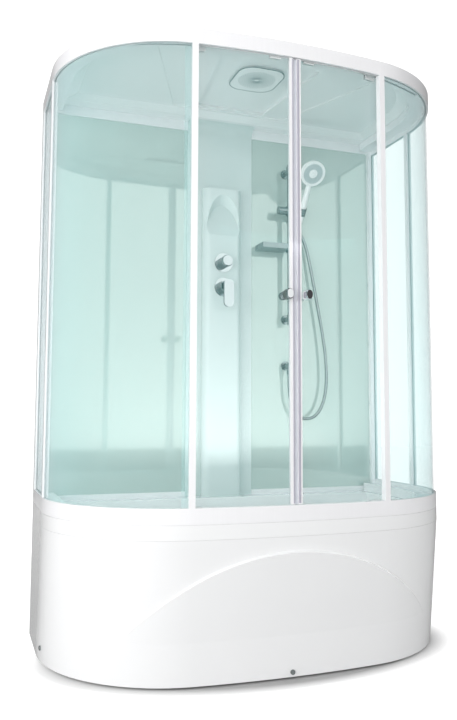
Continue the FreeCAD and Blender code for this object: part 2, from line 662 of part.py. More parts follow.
def apron_fixings():
    """Straps from the frame to the apron and the screws with round caps that hold it."""
    low = FRAME_BASE + " - strap_thickness"
    flange = APRON_FRONT + " + apron_wall + 2 * edge_gap"
    straps, screws = [], []
    half = "strap_width / 2"
    arm = box("strap_arm_front", ("-" + half + " - 2 * strap_width", half + " - 2 * strap_width"),
              (flange, "-frame_front + frame_tube"), (low, FRAME_BASE))
    tab = box("strap_tab_front", ("-" + half + " - 2 * strap_width", half),
              (flange, flange + " + strap_thickness"), ("front_cap_height - " + half, FRAME_BASE))
    hole = rod("strap_hole_front", "cap_shank_radius + slot_gap", "4 * strap_thickness",
               ("0", flange + " + 2 * strap_thickness", "front_cap_height"), "-y")
    straps.append(cut("strap_front", fuse("strap_front_whole", arm, tab), hole))
    seat = APRON_FRONT + " - cap_radius * %s - slot_gap" % APRON_SLOPE
    cap = rod("cap_front", "cap_radius", "cap_height", ("0", seat, "front_cap_height"), "-y")
    shank = rod("shank_front", "cap_shank_radius", "6 * strap_thickness",
                ("0", flange + " + 2 * strap_thickness", "front_cap_height"), "-y")
    screws.append(fuse("screw_front", cap, shank))
    reach = CAP_X + " - apron_wall - strap_set_back"
    span = ("side_cap_y - " + half, "side_cap_y + " + half)
    arm = box("strap_arm_side", ("frame_length / 2 - frame_tube", reach), span, (low, FRAME_BASE))
    tab = box("strap_tab_side", (reach + " - strap_thickness", reach), span,
              ("side_cap_height - " + half, FRAME_BASE))
    hole = rod("strap_hole_side", "cap_shank_radius + strap_hole_gap", "4 * strap_thickness",
               (reach + " - 2 * strap_thickness", "side_cap_y + strap_hole_gap * 2",
                "side_cap_height"), "+x")
    right = cut("strap_side", fuse("strap_side_whole", arm, tab), hole)
    straps += [right, mirrored("strap_side_left", right)]
    length = "apron_wall + strap_set_back + 3 * strap_thickness"
    cap = rod("cap_side", "cap_radius", "cap_height", ("0", "0", "0"), "+x")
    shank = rod("shank_side", "cap_shank_radius", length, ("-(%s)" % length, "0", "0"), "+x")
    right = at_side_cap(fuse("screw_side", cap, shank))
    screws += [right, mirrored("screw_side_left", right)]
    node(group("strap_set", *straps), "apron_straps")
    node(group("screw_set", *screws), "apron_screws")


def drain():
    """Waste cup through the tray floor, its lift-out strainer and the pipe to the back."""
    centre = ("0", "drain_y")
    flange = rod("drain_flange_disc", "drain_radius + drain_flange", "drain_flange_thickness",
                 (*centre, BASIN_FLOOR))
    cup = rod("drain_cup_outside", "drain_radius", "drain_depth",
              (*centre, BASIN_FLOOR + " - drain_depth"))
    hollow = rod("drain_hollow", "drain_radius - drain_wall", "drain_depth + drain_flange_thickness",
                 (*centre, BASIN_FLOOR + " - drain_depth + drain_wall"))
    port = rod("drain_port", "socket_radius + fit_gap", "2 * drain_radius",
               ("0", "drain_y + drain_radius / 2", "outlet_height"), "+y")
    node(cut("drain_body", fuse("drain_whole", flange, cup), hollow, port), "drain_cup")
    dome = cone("strainer_dome", "drain_radius + drain_flange / 2", "drain_radius * 0.8",
                "strainer_height",
                (*centre, BASIN_FLOOR + " + drain_flange_thickness"))
    skirt = rod("strainer_skirt_ring", "drain_radius - 2 * drain_wall", "strainer_skirt",
                (*centre, BASIN_FLOOR + " + drain_flange_thickness - strainer_skirt"))
    inside = rod("strainer_inside", "drain_radius - 3 * drain_wall", "strainer_skirt",
                 (*centre, BASIN_FLOOR + " + drain_flange_thickness - strainer_skirt"))
    node(cut("strainer", fuse("strainer_whole", dome, skirt), inside), "drain_strainer")
    start = ("0", "drain_y + drain_radius - drain_wall", "outlet_height")
    plain = rod("outlet_plain", "outlet_radius", "%s - (%s)" % (BACK, start[1]), start, "+y")
    pipe = fuse("outlet_pipe", plain, rod("outlet_socket", "socket_radius", "socket_length", start, "+y"))
    bore = rod("outlet_bore", "outlet_radius - outlet_wall", "depth", start, "+y")
    node(cut("outlet", pipe, bore), "drain_outlet")


# rails, posts and fixed glass


def rail_body(name, base, slot_base, step_base, step):
    """A rail along the sides and the front: a fascia slotted for the fixed glass, stepped behind it."""
    body = new_body(name + "_body")
    outline = sketch_on(body, name + "_outline", offset=base)
    bow_band(outline, "0", "rail_width", POST_FRONT)
    pad(body, outline, "rail_height")
    slot = sketch_on(body, name + "_slot", offset=slot_base)
    bow_band(slot, "glass_inset - slot_gap", "glass_inset + glass + slot_gap", POST_FRONT + " + edge_gap")
    pocket(body, slot, "slot_depth")
    lowered = sketch_on(body, name + "_step", offset=step_base)
    bow_band(lowered, "fascia", "rail_width + edge_gap", POST_FRONT + " + edge_gap")
    pocket(body, lowered, step)
    return body


def track(body, name, base, width, depth):
    """A groove along the doors' arc."""
    sketch = sketch_on(body, name, offset=base)
    arc_band(sketch, "door_radius - %s / 2" % width, "door_radius + %s / 2" % width, "-" + TRACK_END,
             TRACK_END)
    pocket(body, sketch, depth)


def rails():
    """Lower rail with a guide groove on top, upper rail with a hollow track for the rollers."""
    lower = rail_body("lower_rail", "tray_height", SILL + " - slot_depth", LOWER_RUN, "lower_step")
    track(lower, "guide_groove", LOWER_RUN + " - groove_depth", "groove_width", "groove_depth")
    node(lower, "lower_rail")
    upper = rail_body("upper_rail", LINTEL, LINTEL, LINTEL, "upper_step")
    track(upper, "track_neck_cut", UPPER_RUN, "track_neck", "track_lip")
    track(upper, "track_chamber_cut", UPPER_RUN + " + track_lip", "track_chamber", "track_room")
    node(upper, "upper_rail")


GLASS_LOW = "(%s - slot_depth + edge_gap)" % SILL
GLASS_HIGH = "(%s + slot_depth - edge_gap)" % LINTEL
SIDE_GLASS = ("width / 2 - glass_inset - glass", "width / 2 - glass_inset")
SIDE_SLOT = ("width / 2 - glass_inset - glass - slot_gap", "width / 2 - glass_inset + slot_gap")
PANEL_SLOT = (PANEL_Y + " - slot_gap", PANEL_Y + " + glass + slot_gap")


def posts():
    """Wall posts, corner posts and the jambs beside the doors, all slotted for the glass."""
    whole = box("wall_post_whole", (POST_SIDE, HALF), (POST_FRONT, BACK), ("tray_height", EAVES))
    side = box("wall_post_side_slot", SIDE_SLOT, (POST_FRONT, POST_FRONT + " + slot_depth"),
               (GLASS_LOW + " - edge_gap", GLASS_HIGH + " + edge_gap"))
    rear = box("wall_post_panel_slot", (POST_SIDE, POST_SIDE + " + panel_grip + edge_gap"), PANEL_SLOT,
               ("tray_height", EAVES))
    pair(cut("wall_post", whole, side, rear), "wall_post")

    half = "corner_post_width / 2"
    whole = box("corner_post_whole", (HALF + " - corner_post_depth", HALF),
                (CORNER_Y + " - " + half, CORNER_Y + " + " + half), (SILL, LINTEL))
    behind = box("corner_post_slot_behind", SIDE_SLOT, (CORNER_Y + " + post_web / 2",
                                                        CORNER_Y + " + " + half),
                 (SILL, LINTEL))
    ahead = box("corner_post_slot_ahead", SIDE_SLOT, (CORNER_Y + " - " + half,
                                                      CORNER_Y + " - post_web / 2"),
                (SILL, LINTEL))
    pair(cut("corner_post", whole, behind, ahead), "corner_post")

    whole = box("jamb_whole", ("jamb_overlap - jamb_width", "jamb_overlap"),
                ("-bow_radius", "-bow_radius + jamb_depth"), (SILL, LINTEL))
    slot = box("jamb_slot", ("-edge_gap", "jamb_overlap"),
               ("-bow_radius + glass_inset - slot_gap", "-bow_radius + glass_inset + glass + slot_gap"),
               (SILL, LINTEL))
    jamb = turn(cut("jamb", whole, slot), UP, LEAN)
    pair(place(jamb, y=BOW_Y), "jamb")


def fixed_glass():
    """Flat side glass and bent corner glass on both sides."""
    pane = box("side_pane", SIDE_GLASS, (CORNER_Y + " + post_web / 2",
                                         POST_FRONT + " + slot_depth - edge_gap"),
               (GLASS_LOW, GLASS_HIGH))
    pair(pane, "side_glass")
    face = "(corner_radius - glass_inset)"
    sweep = "90 deg - %s - asin((post_web / 2 + seat_gap) / (%s - glass))" % (LEAN, face)
    sectors = []
    for name, radius in (("outer", face), ("inner", face + " - glass")):
        sector = rod("corner_" + name, radius, GLASS_HIGH + " - " + GLASS_LOW, ("0", "0", GLASS_LOW))
        sectors.append(bind(sector, Angle=sweep))
    pane = turn(cut("corner_pane", *sectors), UP, LEAN + " - 90 deg")
    pair(place(pane, CORNER_X, CORNER_Y), "corner_glass")


# doors


def on_arc(thing, x="0"):
    """Move a piece made at the doors' middle along their arc to a place x to the right."""
    turn(thing, UP, "asin((%s) / door_radius)" % x)
    return place(thing, y=DOOR_Y)


def across_arc(low, high):
    """A span across the doors' arc, from in front of the glass to behind it."""
    return "-door_radius - (%s)" % low, "-door_radius + (%s)" % high


GLASS_SLOT = across_arc("glass / 2 + slot_gap", "glass / 2 + slot_gap")
DOOR_LOW = "(%s + door_gap)" % LOWER_RUN
DOOR_HIGH = "(%s - door_gap)" % UPPER_RUN
STILE_Z = (SILL + " + edge_gap", LINTEL + " - edge_gap")
STILE_X = ("seal_width + seal_gap", "seal_width + seal_gap + stile_width")
CHANNEL_X = STILE_X[0] + " + stile_channel"
ROLLER_Z = "(%s + track_lip + roller_gap + roller_radius)" % UPPER_RUN


def door_leaf():
    """Bent door glass with its meeting stile and the magnetic seal along it."""
    body = new_body("door_glass_body")
    sketch = sketch_on(body, "door_glass_plan", offset=DOOR_LOW)
    arc_band(sketch, "door_radius - glass / 2", "door_radius + glass / 2", CHANNEL_X + " - stile_grip",
             "door_reach")
    pad(body, sketch, DOOR_HIGH + " - " + DOOR_LOW)
    hole = rod("door_knob_hole", "bolt_radius + bolt_gap", "6 * glass",
               ("0", "-door_radius + 3 * glass", "knob_height"), "-y")
    pair(cut("door_glass", body, on_arc(group("door_knob_cut", hole), "knob_x")), "door_glass")

    flange = box("stile_front_flange", STILE_X, across_arc("stile_front", "stile_flange - stile_front"),
                 STILE_Z)
    web = box("stile_web_strip", (STILE_X[0], STILE_X[0] + " + stile_web"),
              across_arc("stile_front", "stile_back"), STILE_Z)
    channel = box("stile_channel_bar", (STILE_X[0], CHANNEL_X), across_arc("stile_back", "stile_back"),
                  STILE_Z)
    slot = box("stile_slot", (CHANNEL_X + " - stile_grip - edge_gap", CHANNEL_X), GLASS_SLOT, STILE_Z)
    pair(on_arc(cut("stile", fuse("stile_whole", flange, web, channel), slot)), "door_stile")
    seal = box("seal_strip", ("seal_gap", STILE_X[0]), across_arc("seal_depth", "0"), STILE_Z)
    pair(on_arc(group("seal", seal)), "magnet_seal")


def door_hangers():
    """Clamps on the top edge of a door with the plates and axles that carry its rollers."""
    half = "hanger_width / 2"
    plate_half = "hanger_plate / 2"
    hangers = []
    for name in ("lead", "trail"):
        x = "hanger_" + name
        clamp = box("clamp_" + name, ("-" + half, half), across_arc("clamp_depth / 2", "clamp_depth / 2"),
                    (DOOR_HIGH + " - hanger_grip", UPPER_RUN + " - edge_gap"))
        slot = box("clamp_slot_" + name, ("-" + half, half), GLASS_SLOT,
                   (DOOR_HIGH + " - hanger_grip", DOOR_HIGH))
        neck = box("hanger_neck_" + name, ("-roller_radius", "roller_radius"),
                   across_arc(plate_half, plate_half),
                   (UPPER_RUN + " - edge_gap", ROLLER_Z + " + axle_radius * 2"))
        axle = rod("axle_" + name, "axle_radius", plate_half + " + 2 * roller_side_gap + roller_width",
                   ("0", "-door_radius", ROLLER_Z), "+y")
        whole = fuse("hanger_whole_" + name, cut("clamp_cut_" + name, clamp, slot), neck, axle)
        hangers.append(on_arc(whole, x))
    pair(group("hangers", *hangers), "door_hangers")


def rollers():
    """Grooveless wheels that run on the lips of the upper rail's track."""
    for name in ("lead", "trail"):
        start = ("0", "-door_radius + hanger_plate / 2 + roller_side_gap", ROLLER_Z)
        wheel = rod("wheel_" + name, "roller_radius", "roller_width", start, "+y")
        bore = rod("wheel_bore_" + name, "axle_radius + axle_gap", "roller_width", start, "+y")
        roller = on_arc(cut("roller_" + name, wheel, bore), "hanger_" + name)
        pair(roller, name + "_roller")


def door_guides():
    """Shoes on the bottom edge of a door, with blades in the lower rail's groove."""
    half = "guide_width / 2"
    guides = []
    for name in ("lead", "trail"):
        shoe = box("shoe_" + name, ("-" + half, half), across_arc("clamp_depth / 2", "clamp_depth / 2"),
                   (LOWER_RUN + " + edge_gap", DOOR_LOW + " + hanger_grip / 2"))
        slot = box("shoe_slot_" + name, ("-" + half, half), GLASS_SLOT,
                   (DOOR_LOW, DOOR_LOW + " + hanger_grip / 2"))
        blade = box("blade_" + name, ("-" + half, half), across_arc("guide_blade / 2", "guide_blade / 2"),
                    (LOWER_RUN + " - guide_reach", LOWER_RUN + " + edge_gap"))
        whole = fuse("guide_whole_" + name, cut("shoe_cut_" + name, shoe, slot), blade)
        guides.append(on_arc(whole, "hanger_" + name))
    pair(group("guides", *guides), "door_guides")


def knob_head(rear):
    """Oval head of a pull with a bevelled front, from its rear plane forwards."""
    body = new_body("knob_head_body")
    for name, start, end, shrink in (("barrel", "0", "knob_head * 0.8", "1"),
                                     ("bevel", "knob_head * 0.8", "knob_head", "0.82")):
        plans = []
        for side, height, share in (("rear", start, "1"), ("front", end, shrink)):
            plan = sketch_on(body, "knob_%s_%s" % (name, side), offset=height)
            half, tall = "knob_half * " + share, "knob_radius * " + share
            rounded(plan, ("-" + half, half), ("-" + tall, tall), half + " * 0.96")
            plans.append(plan)
        loft(body, "AdditiveLoft", *plans)
    body.Placement = PLACE(VEC(), TURNS["-y"])
    return place(body, y=rear)


def door_knob():
    """Oval pull on a waisted neck, bolted through the glass to a flat button inside."""
    face = "-door_radius - glass / 2 - seat_gap"
    rear = "-door_radius + glass / 2 + seat_gap"
    button = rod("knob_button", "button_radius", "button_length", ("0", rear + " + button_length", "0"),
                 "-y")
    bolt = rod("knob_bolt", "bolt_radius", "2 * glass", ("0", rear + " + glass / 2", "0"), "-y")
    neck = rod("knob_neck_rod", "knob_neck", "knob_length - knob_head / 2", ("0", face, "0"), "-y")
    base = cone("knob_base", "knob_base_radius", "knob_neck", "knob_neck", ("0", face, "0"), "-y")
    flare = cone("knob_flare", "knob_neck", "knob_half", "knob_neck",
                 ("0", face + " - knob_length + knob_head + knob_neck", "0"), "-y")
    head = knob_head(face + " - knob_length + knob_head")
    knob = on_arc(fuse("knob", button, bolt, base, neck, flare, head), "knob_x")
    pair(place(knob, y=DOOR_Y, z="knob_height"), "door_knob")


# back wall and roof


def back_panels():
    """Tinted glass panels on the back with the strips that hold their top and bottom edges."""
    x = ("column_half", POST_SIDE)
    y = (PANEL_Y + " - trim_front", PANEL_Y + " + glass + trim_back")
    grip = "trim_height / 2"
    low = cut("trim", box("trim_whole", x, y, ("tray_height", "tray_height + trim_height")),
              box("trim_slot", x, PANEL_SLOT, ("tray_height + " + grip, "tray_height + trim_height")))
    top = cut("cornice", box("cornice_whole", x, y, (EAVES + " - cornice_height", EAVES)),
              box("cornice_slot", x, PANEL_SLOT, (EAVES + " - cornice_height",
                                                  EAVES + " - cornice_height + " + grip)))
    pane = box("back_pane", ("column_half - panel_grip", POST_SIDE + " + panel_grip"),
               (PANEL_Y, PANEL_Y + " + glass"),
               ("tray_height + " + grip, EAVES + " - cornice_height + %s - edge_gap" % grip))
    hole = rod("panel_hole", "shank_radius + slot_gap", "6 * glass",
               ("rail_x", PANEL_Y + " - 3 * glass", "elbow_height"), "+y")
    node(cut("back_pane_right", pane, hole), "right_back_panel")
    node(mirrored("back_pane_left", pane), "left_back_panel")
    strips = group("trims", low, top)
    node(group("trim_set", strips, mirrored("trims_left", strips)), "panel_trims")


def arched_niche():
    """The room of the console's niche: arches that shrink going back, cut off by a sloping floor."""
    arches = []
    for name, share in (("front", "-1 / 9"), ("rear", "1")):
        arch = doc.addObject("Part::Ellipse", "niche_arch_" + name)
        arch.Placement = PLACE(VEC(), ROT(VEC(1, 1, 1), 240))
        bind(arch, MajorRadius="niche_height + (niche_floor_height - niche_height) * (%s)" % share,
             MinorRadius="niche_half + (niche_floor_half - niche_half) * (%s)" % share)
        arches.append(place(arch, y=CONSOLE_Y + " + niche_depth * (%s)" % share, z="niche_low"))
    room = doc.addObject("Part::Loft", "niche_room")
    room.Sections = arches
    room.Solid = True
    room.Ruled = True
    slope = doc.addObject("Part::Wedge", "niche_slope")
    slope.Placement = PLACE(VEC(), TURNS["-y"])
    bind(slope, Xmin="-2 * niche_half", X2min="-2 * niche_half", Xmax="2 * niche_half",
         X2max="2 * niche_half", Ymin="0", Ymax="2 * niche_floor_height", Zmin="0",
         Z2min="-2 * niche_depth", Zmax="console_projection", Z2max="console_projection")
    niche = common("niche", room, place(slope, y=CONSOLE_Y, z="niche_low"))
    niche.Refine = False  # with its faces merged the room takes nothing away
    return niche


def shower_column():
    """White column between the panels: a flange, a hollow console and a cove under the roof."""
    flange = box("column_flange", ("-column_half", "column_half"), (COLUMN_FRONT, COLUMN_BACK),
                 ("tray_height", EAVES))
    body = new_body("console_body")
    plan = sketch_on(body, "console_plan", offset="tray_height")
    rounded(plan, ("-console_half", "console_half"), (CONSOLE_Y, COLUMN_BACK), "console_round")
    pad(body, plan, "console_top - tray_height")
    block = box("cove_block", ("-column_half", "column_half"),
                (COLUMN_FRONT + " - cove_radius", COLUMN_FRONT),
                (EAVES + " - cove_radius", EAVES))
    scoop = rod("cove_scoop", "cove_radius", "3 * column_half",
                ("-1.5 * column_half", COLUMN_FRONT + " - cove_radius", EAVES + " - cove_radius"), "+x")
    whole = fuse("column_whole", flange, body, cut("cove", block, scoop))
    inner = "console_half - console_wall"
    hollow = new_body("console_hollow")
    plan = sketch_on(hollow, "hollow_plan", offset="tray_height + console_wall")
    rounded(plan, ("-(%s)" % inner, inner), (CONSOLE_Y + " + console_wall", BACK + " + console_round"),
            "console_round - console_wall")
    pad(hollow, plan, "niche_low - tray_height - 2 * console_wall")
    cuts = [hollow, arched_niche()]
    for name, height in (("diverter", DIVERTER_Z), ("mixer", "mixer_height")):
        cuts.append(rod("console_hole_" + name, "boss_radius + boss_gap", "3 * console_wall",
                        ("0", CONSOLE_Y + " + 2 * console_wall", height), "-y"))
    grip = ("column_half - panel_grip - edge_gap", "column_half")
    cuts.append(box("flange_slot_right", grip, PANEL_SLOT, ("tray_height", EAVES)))
    cuts.append(box("flange_slot_left", ("-" + grip[1], "-(%s)" % grip[0]), PANEL_SLOT,
                    ("tray_height", EAVES)))
    node(cut("column", whole, *cuts), "shower_column")


def step_corners(step, shrink):
    """The plan of a raised step of the ceiling, narrower at the column."""
    front, back = ("%s_%s_half - (%s)" % (step, end, shrink) for end in ("front", "back"))
    low, high = "%s_front_y + (%s)" % (step, shrink), "%s_back_y - (%s)" % (step, shrink)
    return [("-(%s)" % front, low), (front, low), (back, high), ("-(%s)" % back, high)]


def roof():
    """Thin roof moulding: a flat flange, a shallow dish and a raised middle for the rain head."""
    body = new_body("roof_body")
    flange = sketch_on(body, "roof_flange_plan", offset=EAVES)
    bow_area(flange, "roof_inset")
    pad(body, flange, "roof_wall")
    sections = []
    for name, wall, top in (("outer", "0", "roof_wall"), ("inner", "roof_wall", "0")):
        low = sketch_on(body, "dish_%s_low" % name, offset=EAVES)
        bow_area(low, "roof_flange + " + wall)
        high = sketch_on(body, "dish_%s_high" % name, offset=EAVES + " + dish_rise + " + top)
        bow_area(high, "roof_flange + dish_draft + " + wall)
        sections.append((low, high))
    loft(body, "AdditiveLoft", *sections[0])
    loft(body, "SubtractiveLoft", *sections[1])
    for step, base in (("field", EAVES + " + dish_rise"), ("pan", FIELD)):
        raised = sketch_on(body, step + "_outside", offset=base)
        polygon(raised, step_corners(step, "0"))
        pad(body, raised, step + "_rise + roof_wall")
        sunk = sketch_on(body, step + "_inside", offset=base)
        polygon(sunk, step_corners(step, "roof_wall"))
        pocket(body, sunk, step + "_rise")
    hole = rod("roof_stem_hole", "stem_radius + stem_gap", "3 * roof_wall",
               ("0", "rain_y", PAN + " - roof_wall"))
    node(cut("roof_shell", body, hole), "roof")


def rain_head():
    """Square rain head with round corners under the roof, fed through a stem."""
    body = new_body("rain_body")
    plan = sketch_on(body, "rain_plan", offset=PAN + " - rain_thickness")
    rounded(plan, ("-rain_width / 2", "rain_width / 2"),
            ("rain_y - rain_length / 2", "rain_y + rain_length / 2"), "rain_round")
    pad(body, plan, "rain_thickness")
    stem = rod("rain_stem", "stem_radius", "stem_height", ("0", "rain_y", PAN + " - rain_thickness / 2"))
    node(fuse("rain_whole", body, stem), "rain_head")


# valve and pipes


def valve():
    """Valve body in the console with its spindles, wall plates, handles and inlets."""
    barrel = rod("valve_barrel", "valve_radius", VALVE_HEAD + " - " + VALVE_BASE,
                 ("0", "valve_y", VALVE_BASE))
    pieces = [barrel]
    tip = CONSOLE_Y + " - boss_proud"
    plates = []
    for name, height in (("diverter", DIVERTER_Z), ("mixer", "mixer_height")):
        pieces.append(rod(name + "_boss", "boss_radius", "valve_y - (%s)" % tip,
                          ("0", "valve_y", height), "-y"))
        pieces.append(rod(name + "_spindle", "spindle_radius", "spindle_length", ("0", tip, height),
                          "-y"))
        disc = rod(name + "_disc", "plate_radius", "plate_thickness", ("0", CONSOLE_Y, height), "-y")
        hole = rod(name + "_disc_hole", "boss_radius + boss_gap", "3 * plate_thickness",
                   ("0", CONSOLE_Y + " + plate_thickness", height), "-y")
        plates.append(cut(name + "_plate", disc, hole))
    cross = rod("valve_cross", "cross_radius", "2 * (inlet_spread - inlet_radius)",
                ("-(inlet_spread - inlet_radius)", "valve_y", "mixer_height"), "+x")
    for name, side in (("hot", "-"), ("cold", "")):
        x = side + "(inlet_spread - inlet_radius)"
        pieces.append(rod("inlet_shoulder_" + name, "shoulder_radius", "shoulder_length",
                          (x, "valve_y", "mixer_height"), "+y"))
        pieces.append(rod("inlet_tail_" + name, "inlet_radius", "inlet_length",
                          (x, "valve_y + shoulder_length", "mixer_height"), "+y"))
    node(fuse("valve_whole", *pieces, cross), "valve_body")
    node(group("plates", *plates), "valve_plates")


HANDLE_BACK = "(%s - boss_proud - handle_gap)" % CONSOLE_Y


def handles():
    """Diverter knob, mixer hub and the lever that lifts on the hub's pin."""
    start = ("0", HANDLE_BACK, DIVERTER_Z)
    grip = rod("diverter_grip", "diverter_radius", "diverter_length * 0.88", start, "-y")
    nose = cone("diverter_nose", "diverter_radius", "diverter_radius * 0.88", "diverter_length * 0.12",
                ("0", HANDLE_BACK + " - diverter_length * 0.88", DIVERTER_Z), "-y")
    bore = rod("diverter_bore", "spindle_radius + fit_gap", "spindle_length + handle_gap", start, "-y")
    node(cut("diverter", fuse("diverter_whole", grip, nose), bore), "diverter_knob")

    front = HANDLE_BACK + " - hub_length"
    pin_y = "(%s + lug_reach / 2)" % front
    hub = rod("hub_whole", "hub_radius", "hub_length", ("0", HANDLE_BACK, "mixer_height"), "-y")
    bore = rod("hub_bore", "spindle_radius + fit_gap", "spindle_length",
               ("0", HANDLE_BACK, "mixer_height"), "-y")
    slot_half = "lug_width / 2 + lug_side_gap"
    slot = box("hub_slot", ("-(%s)" % slot_half, slot_half), (front, front + " + lug_reach + lug_swing"),
               ("mixer_height - lug_height / 2 - lug_swing", "mixer_height + lug_height / 2 + lug_swing"))
    pin = rod("hub_pin", "pin_radius", "1.6 * hub_radius", ("-0.8 * hub_radius", pin_y, "mixer_height"),
              "+x")
    node(fuse("hub", cut("hub_cut", hub, bore, slot), pin), "mixer_hub")

    face = front + " - lever_gap"
    paddle = new_body("lever_body")
    sketch = sketch_on(paddle, "lever_outline", "XZ_Plane", "-(%s)" % face)
    rounded(sketch, ("-lever_width / 2", "lever_width / 2"),
            ("mixer_height - lever_below", "mixer_height + lever_above"), "lever_width / 2 - edge_gap")
    pad(paddle, sketch, "lever_thickness")
    lug = box("lever_lug", ("-lug_width / 2", "lug_width / 2"), (face, front + " + lug_reach"),
              ("mixer_height - lug_height / 2", "mixer_height + lug_height / 2"))
    eye = rod("lever_eye", "pin_radius + pin_gap", "2 * lug_width",
              ("-lug_width", pin_y, "mixer_height"), "+x")
    node(cut("lever", fuse("lever_whole", paddle, lug), eye), "mixer_lever")


def feed_pipes():
    """Pipe from the valve up behind the column and over the roof, and pipe to the outlet elbow."""
    radius, bend = value("pipe_radius"), value("pipe_bend")
    behind = value(COLUMN_BACK) + value("pipe_back_gap") + radius
    over = value(PAN) + value("roof_wall") + value("pipe_roof_gap") + radius
    rain = VEC(0, value("rain_y"), value(PAN) - value("rain_thickness") / 2 + value("stem_height"))
    feed = VEC(0, value("valve_y"), value(VALVE_HEAD))
    turn_z = feed.z + bend + radius
    route = [rain, VEC(0, rain.y, over), VEC(0, behind, over), VEC(0, behind, turn_z),
             VEC(0, feed.y, turn_z), feed]
    rain_pipe = tube("rain_pipe", route, radius, pipe_bend_for(bend))[0]
    low = value(VALVE_BASE)
    elbow = VEC(value("rail_x"), value(PANEL_Y) + value("glass"), value("elbow_height"))
    valve_end = VEC(0, value("valve_y"), low)
    drop = VEC(0, value("valve_y"), elbow.z)
    route = [valve_end, drop, VEC(0, behind, elbow.z), VEC(elbow.x, behind, elbow.z), elbow]
    hand_pipe = tube("hand_pipe", route, radius, pipe_bend_for(bend))[0]
    node(group("pipes", rain_pipe, hand_pipe), "feed_pipes")


def pipe_bend_for(bend):
    """The wanted bend, or less where the runs beside a corner are short."""
    def radius(before, corner, after):
        shorter = min((corner - before).Length, (after - corner).Length)
        half = (corner - before).getAngle(after - corner) / 2
        return min(bend, 0.45 * shorter / math.tan(half))
    return radius


# slide rail and hand shower


def slide_rail():
    """Upright tube on two brackets with round wall plates."""
    centre = ("rail_x", RAIL_Y)
    outside = rod("bar_outside", "bar_radius", "bar_length", (*centre, BAR_BASE))
    inside = rod("bar_inside", "bar_radius - bar_wall", "bar_length", (*centre, BAR_BASE))
    node(cut("bar", outside, inside), "slide_rail")
    brackets = []
    for name, height in BRACKETS.items():
        plate = rod("rosette_" + name, "rosette_radius", "rosette_thickness",
                    ("rail_x", PANEL_Y, height), "-y")
        arm = rod("arm_" + name, "arm_radius", "rail_standoff", ("rail_x", PANEL_Y, height), "-y")
        base = height + " - bracket_height / 2"
        collar = rod("collar_" + name, "bracket_radius", "bracket_height", (*centre, base))
        bore = rod("collar_bore_" + name, "bar_radius + fit_gap", "bracket_height", (*centre, base))
        brackets.append(cut("bracket_" + name, fuse("bracket_whole_" + name, plate, arm, collar), bore))
    node(group("brackets", *brackets), "rail_brackets")


def slider():
    """Clamp that slides on the rail, with a turn-grip on the left and a pivot on the right."""
    z = SLIDER_Z
    barrel = rod("slider_barrel", "slider_radius", "slider_left + slider_right",
                 ("rail_x - slider_left", RAIL_Y, z), "+x")
    sleeve = rod("slider_sleeve", "slider_radius", "slider_tall",
                 ("rail_x", RAIL_Y, z + " - slider_tall / 2"))
    end = "rail_x + slider_right"
    arm = box("slider_arm", (end + " - 2 * pivot_radius", end), ("holder_y", RAIL_Y),
              (z + " - slider_radius * 0.7", z + " + slider_radius * 0.7"))
    nose = rod("slider_nose", "slider_radius * 0.7", "2 * pivot_radius",
               (end + " - 2 * pivot_radius", "holder_y", z), "+x")
    pivot = rod("slider_pivot", "pivot_radius", "pivot_length", (end, "holder_y", z), "+x")
    bore = rod("slider_bore", "bar_radius + slide_gap", "3 * slider_tall",
               ("rail_x", RAIL_Y, z + " - 1.5 * slider_tall"))
    node(cut("slider", fuse("slider_whole", barrel, sleeve, arm, nose, pivot), bore), "rail_slider")


def tilted(thing):
    """Stand a piece made upright at the origin in the holder, leaning out of the wall."""
    turn(thing, ACROSS, "holder_tilt * 1 deg")
    return place(thing, "holder_x", "holder_y", SLIDER_Z)


def hand_shower():
    """Split-ring holder and the hand shower in it: tail, handle, round head and spray face."""
    ring = rod("holder_ring", "holder_radius", "holder_length", ("0", "0", "-holder_length / 2"))
    reach = "holder_x - rail_x - slider_right - holder_side_gap"
    boss = rod("holder_boss_rod", "holder_boss", reach, ("0", "0", "0"), "-x")
    blind = rod("holder_blind", "pivot_radius + pin_gap", "pivot_length + holder_side_gap",
                ("-(%s)" % reach, "0", "0"), "+x")
    bore = rod("holder_bore", "handle_radius + holder_gap", "3 * holder_length",
               ("0", "0", "-1.5 * holder_length"))
    node(tilted(cut("holder", fuse("holder_whole", ring, boss), bore, blind)), "handset_holder")

    grip = rod("handle_grip", "handle_radius", "tail_length + holder_length", ("0", "0", "-tail_length"))
    neck = cone("handle_taper", "handle_radius", "handle_neck",
                "head_distance - head_radius / 2 - holder_length",
                ("0", "0", "holder_length"))
    reach = rod("handle_end", "handle_neck", "head_radius / 2",
                ("0", "0", "head_distance - head_radius / 2"))
    rear = cone("head_rear", "head_radius", "head_radius * 0.72", "head_back",
                ("0", "0", "head_distance"), "+y")
    front = rod("head_front_disc", "head_radius", "head_front", ("0", "0", "head_distance"), "-y")
    seat = rod("head_seat", "face_radius + fit_gap", "2 * face_thickness",
               ("0", "-head_front + face_thickness", "head_distance"), "-y")
    whole = cut("handset_cut", fuse("handset_whole", grip, neck, reach, rear, front), seat)
    node(tilted(whole), "hand_shower")
    face = rod("spray_face_disc", "face_radius", "face_thickness",
               ("0", "-head_front + face_thickness", "head_distance"), "-y")
    node(tilted(group("spray", face)), "spray_face")


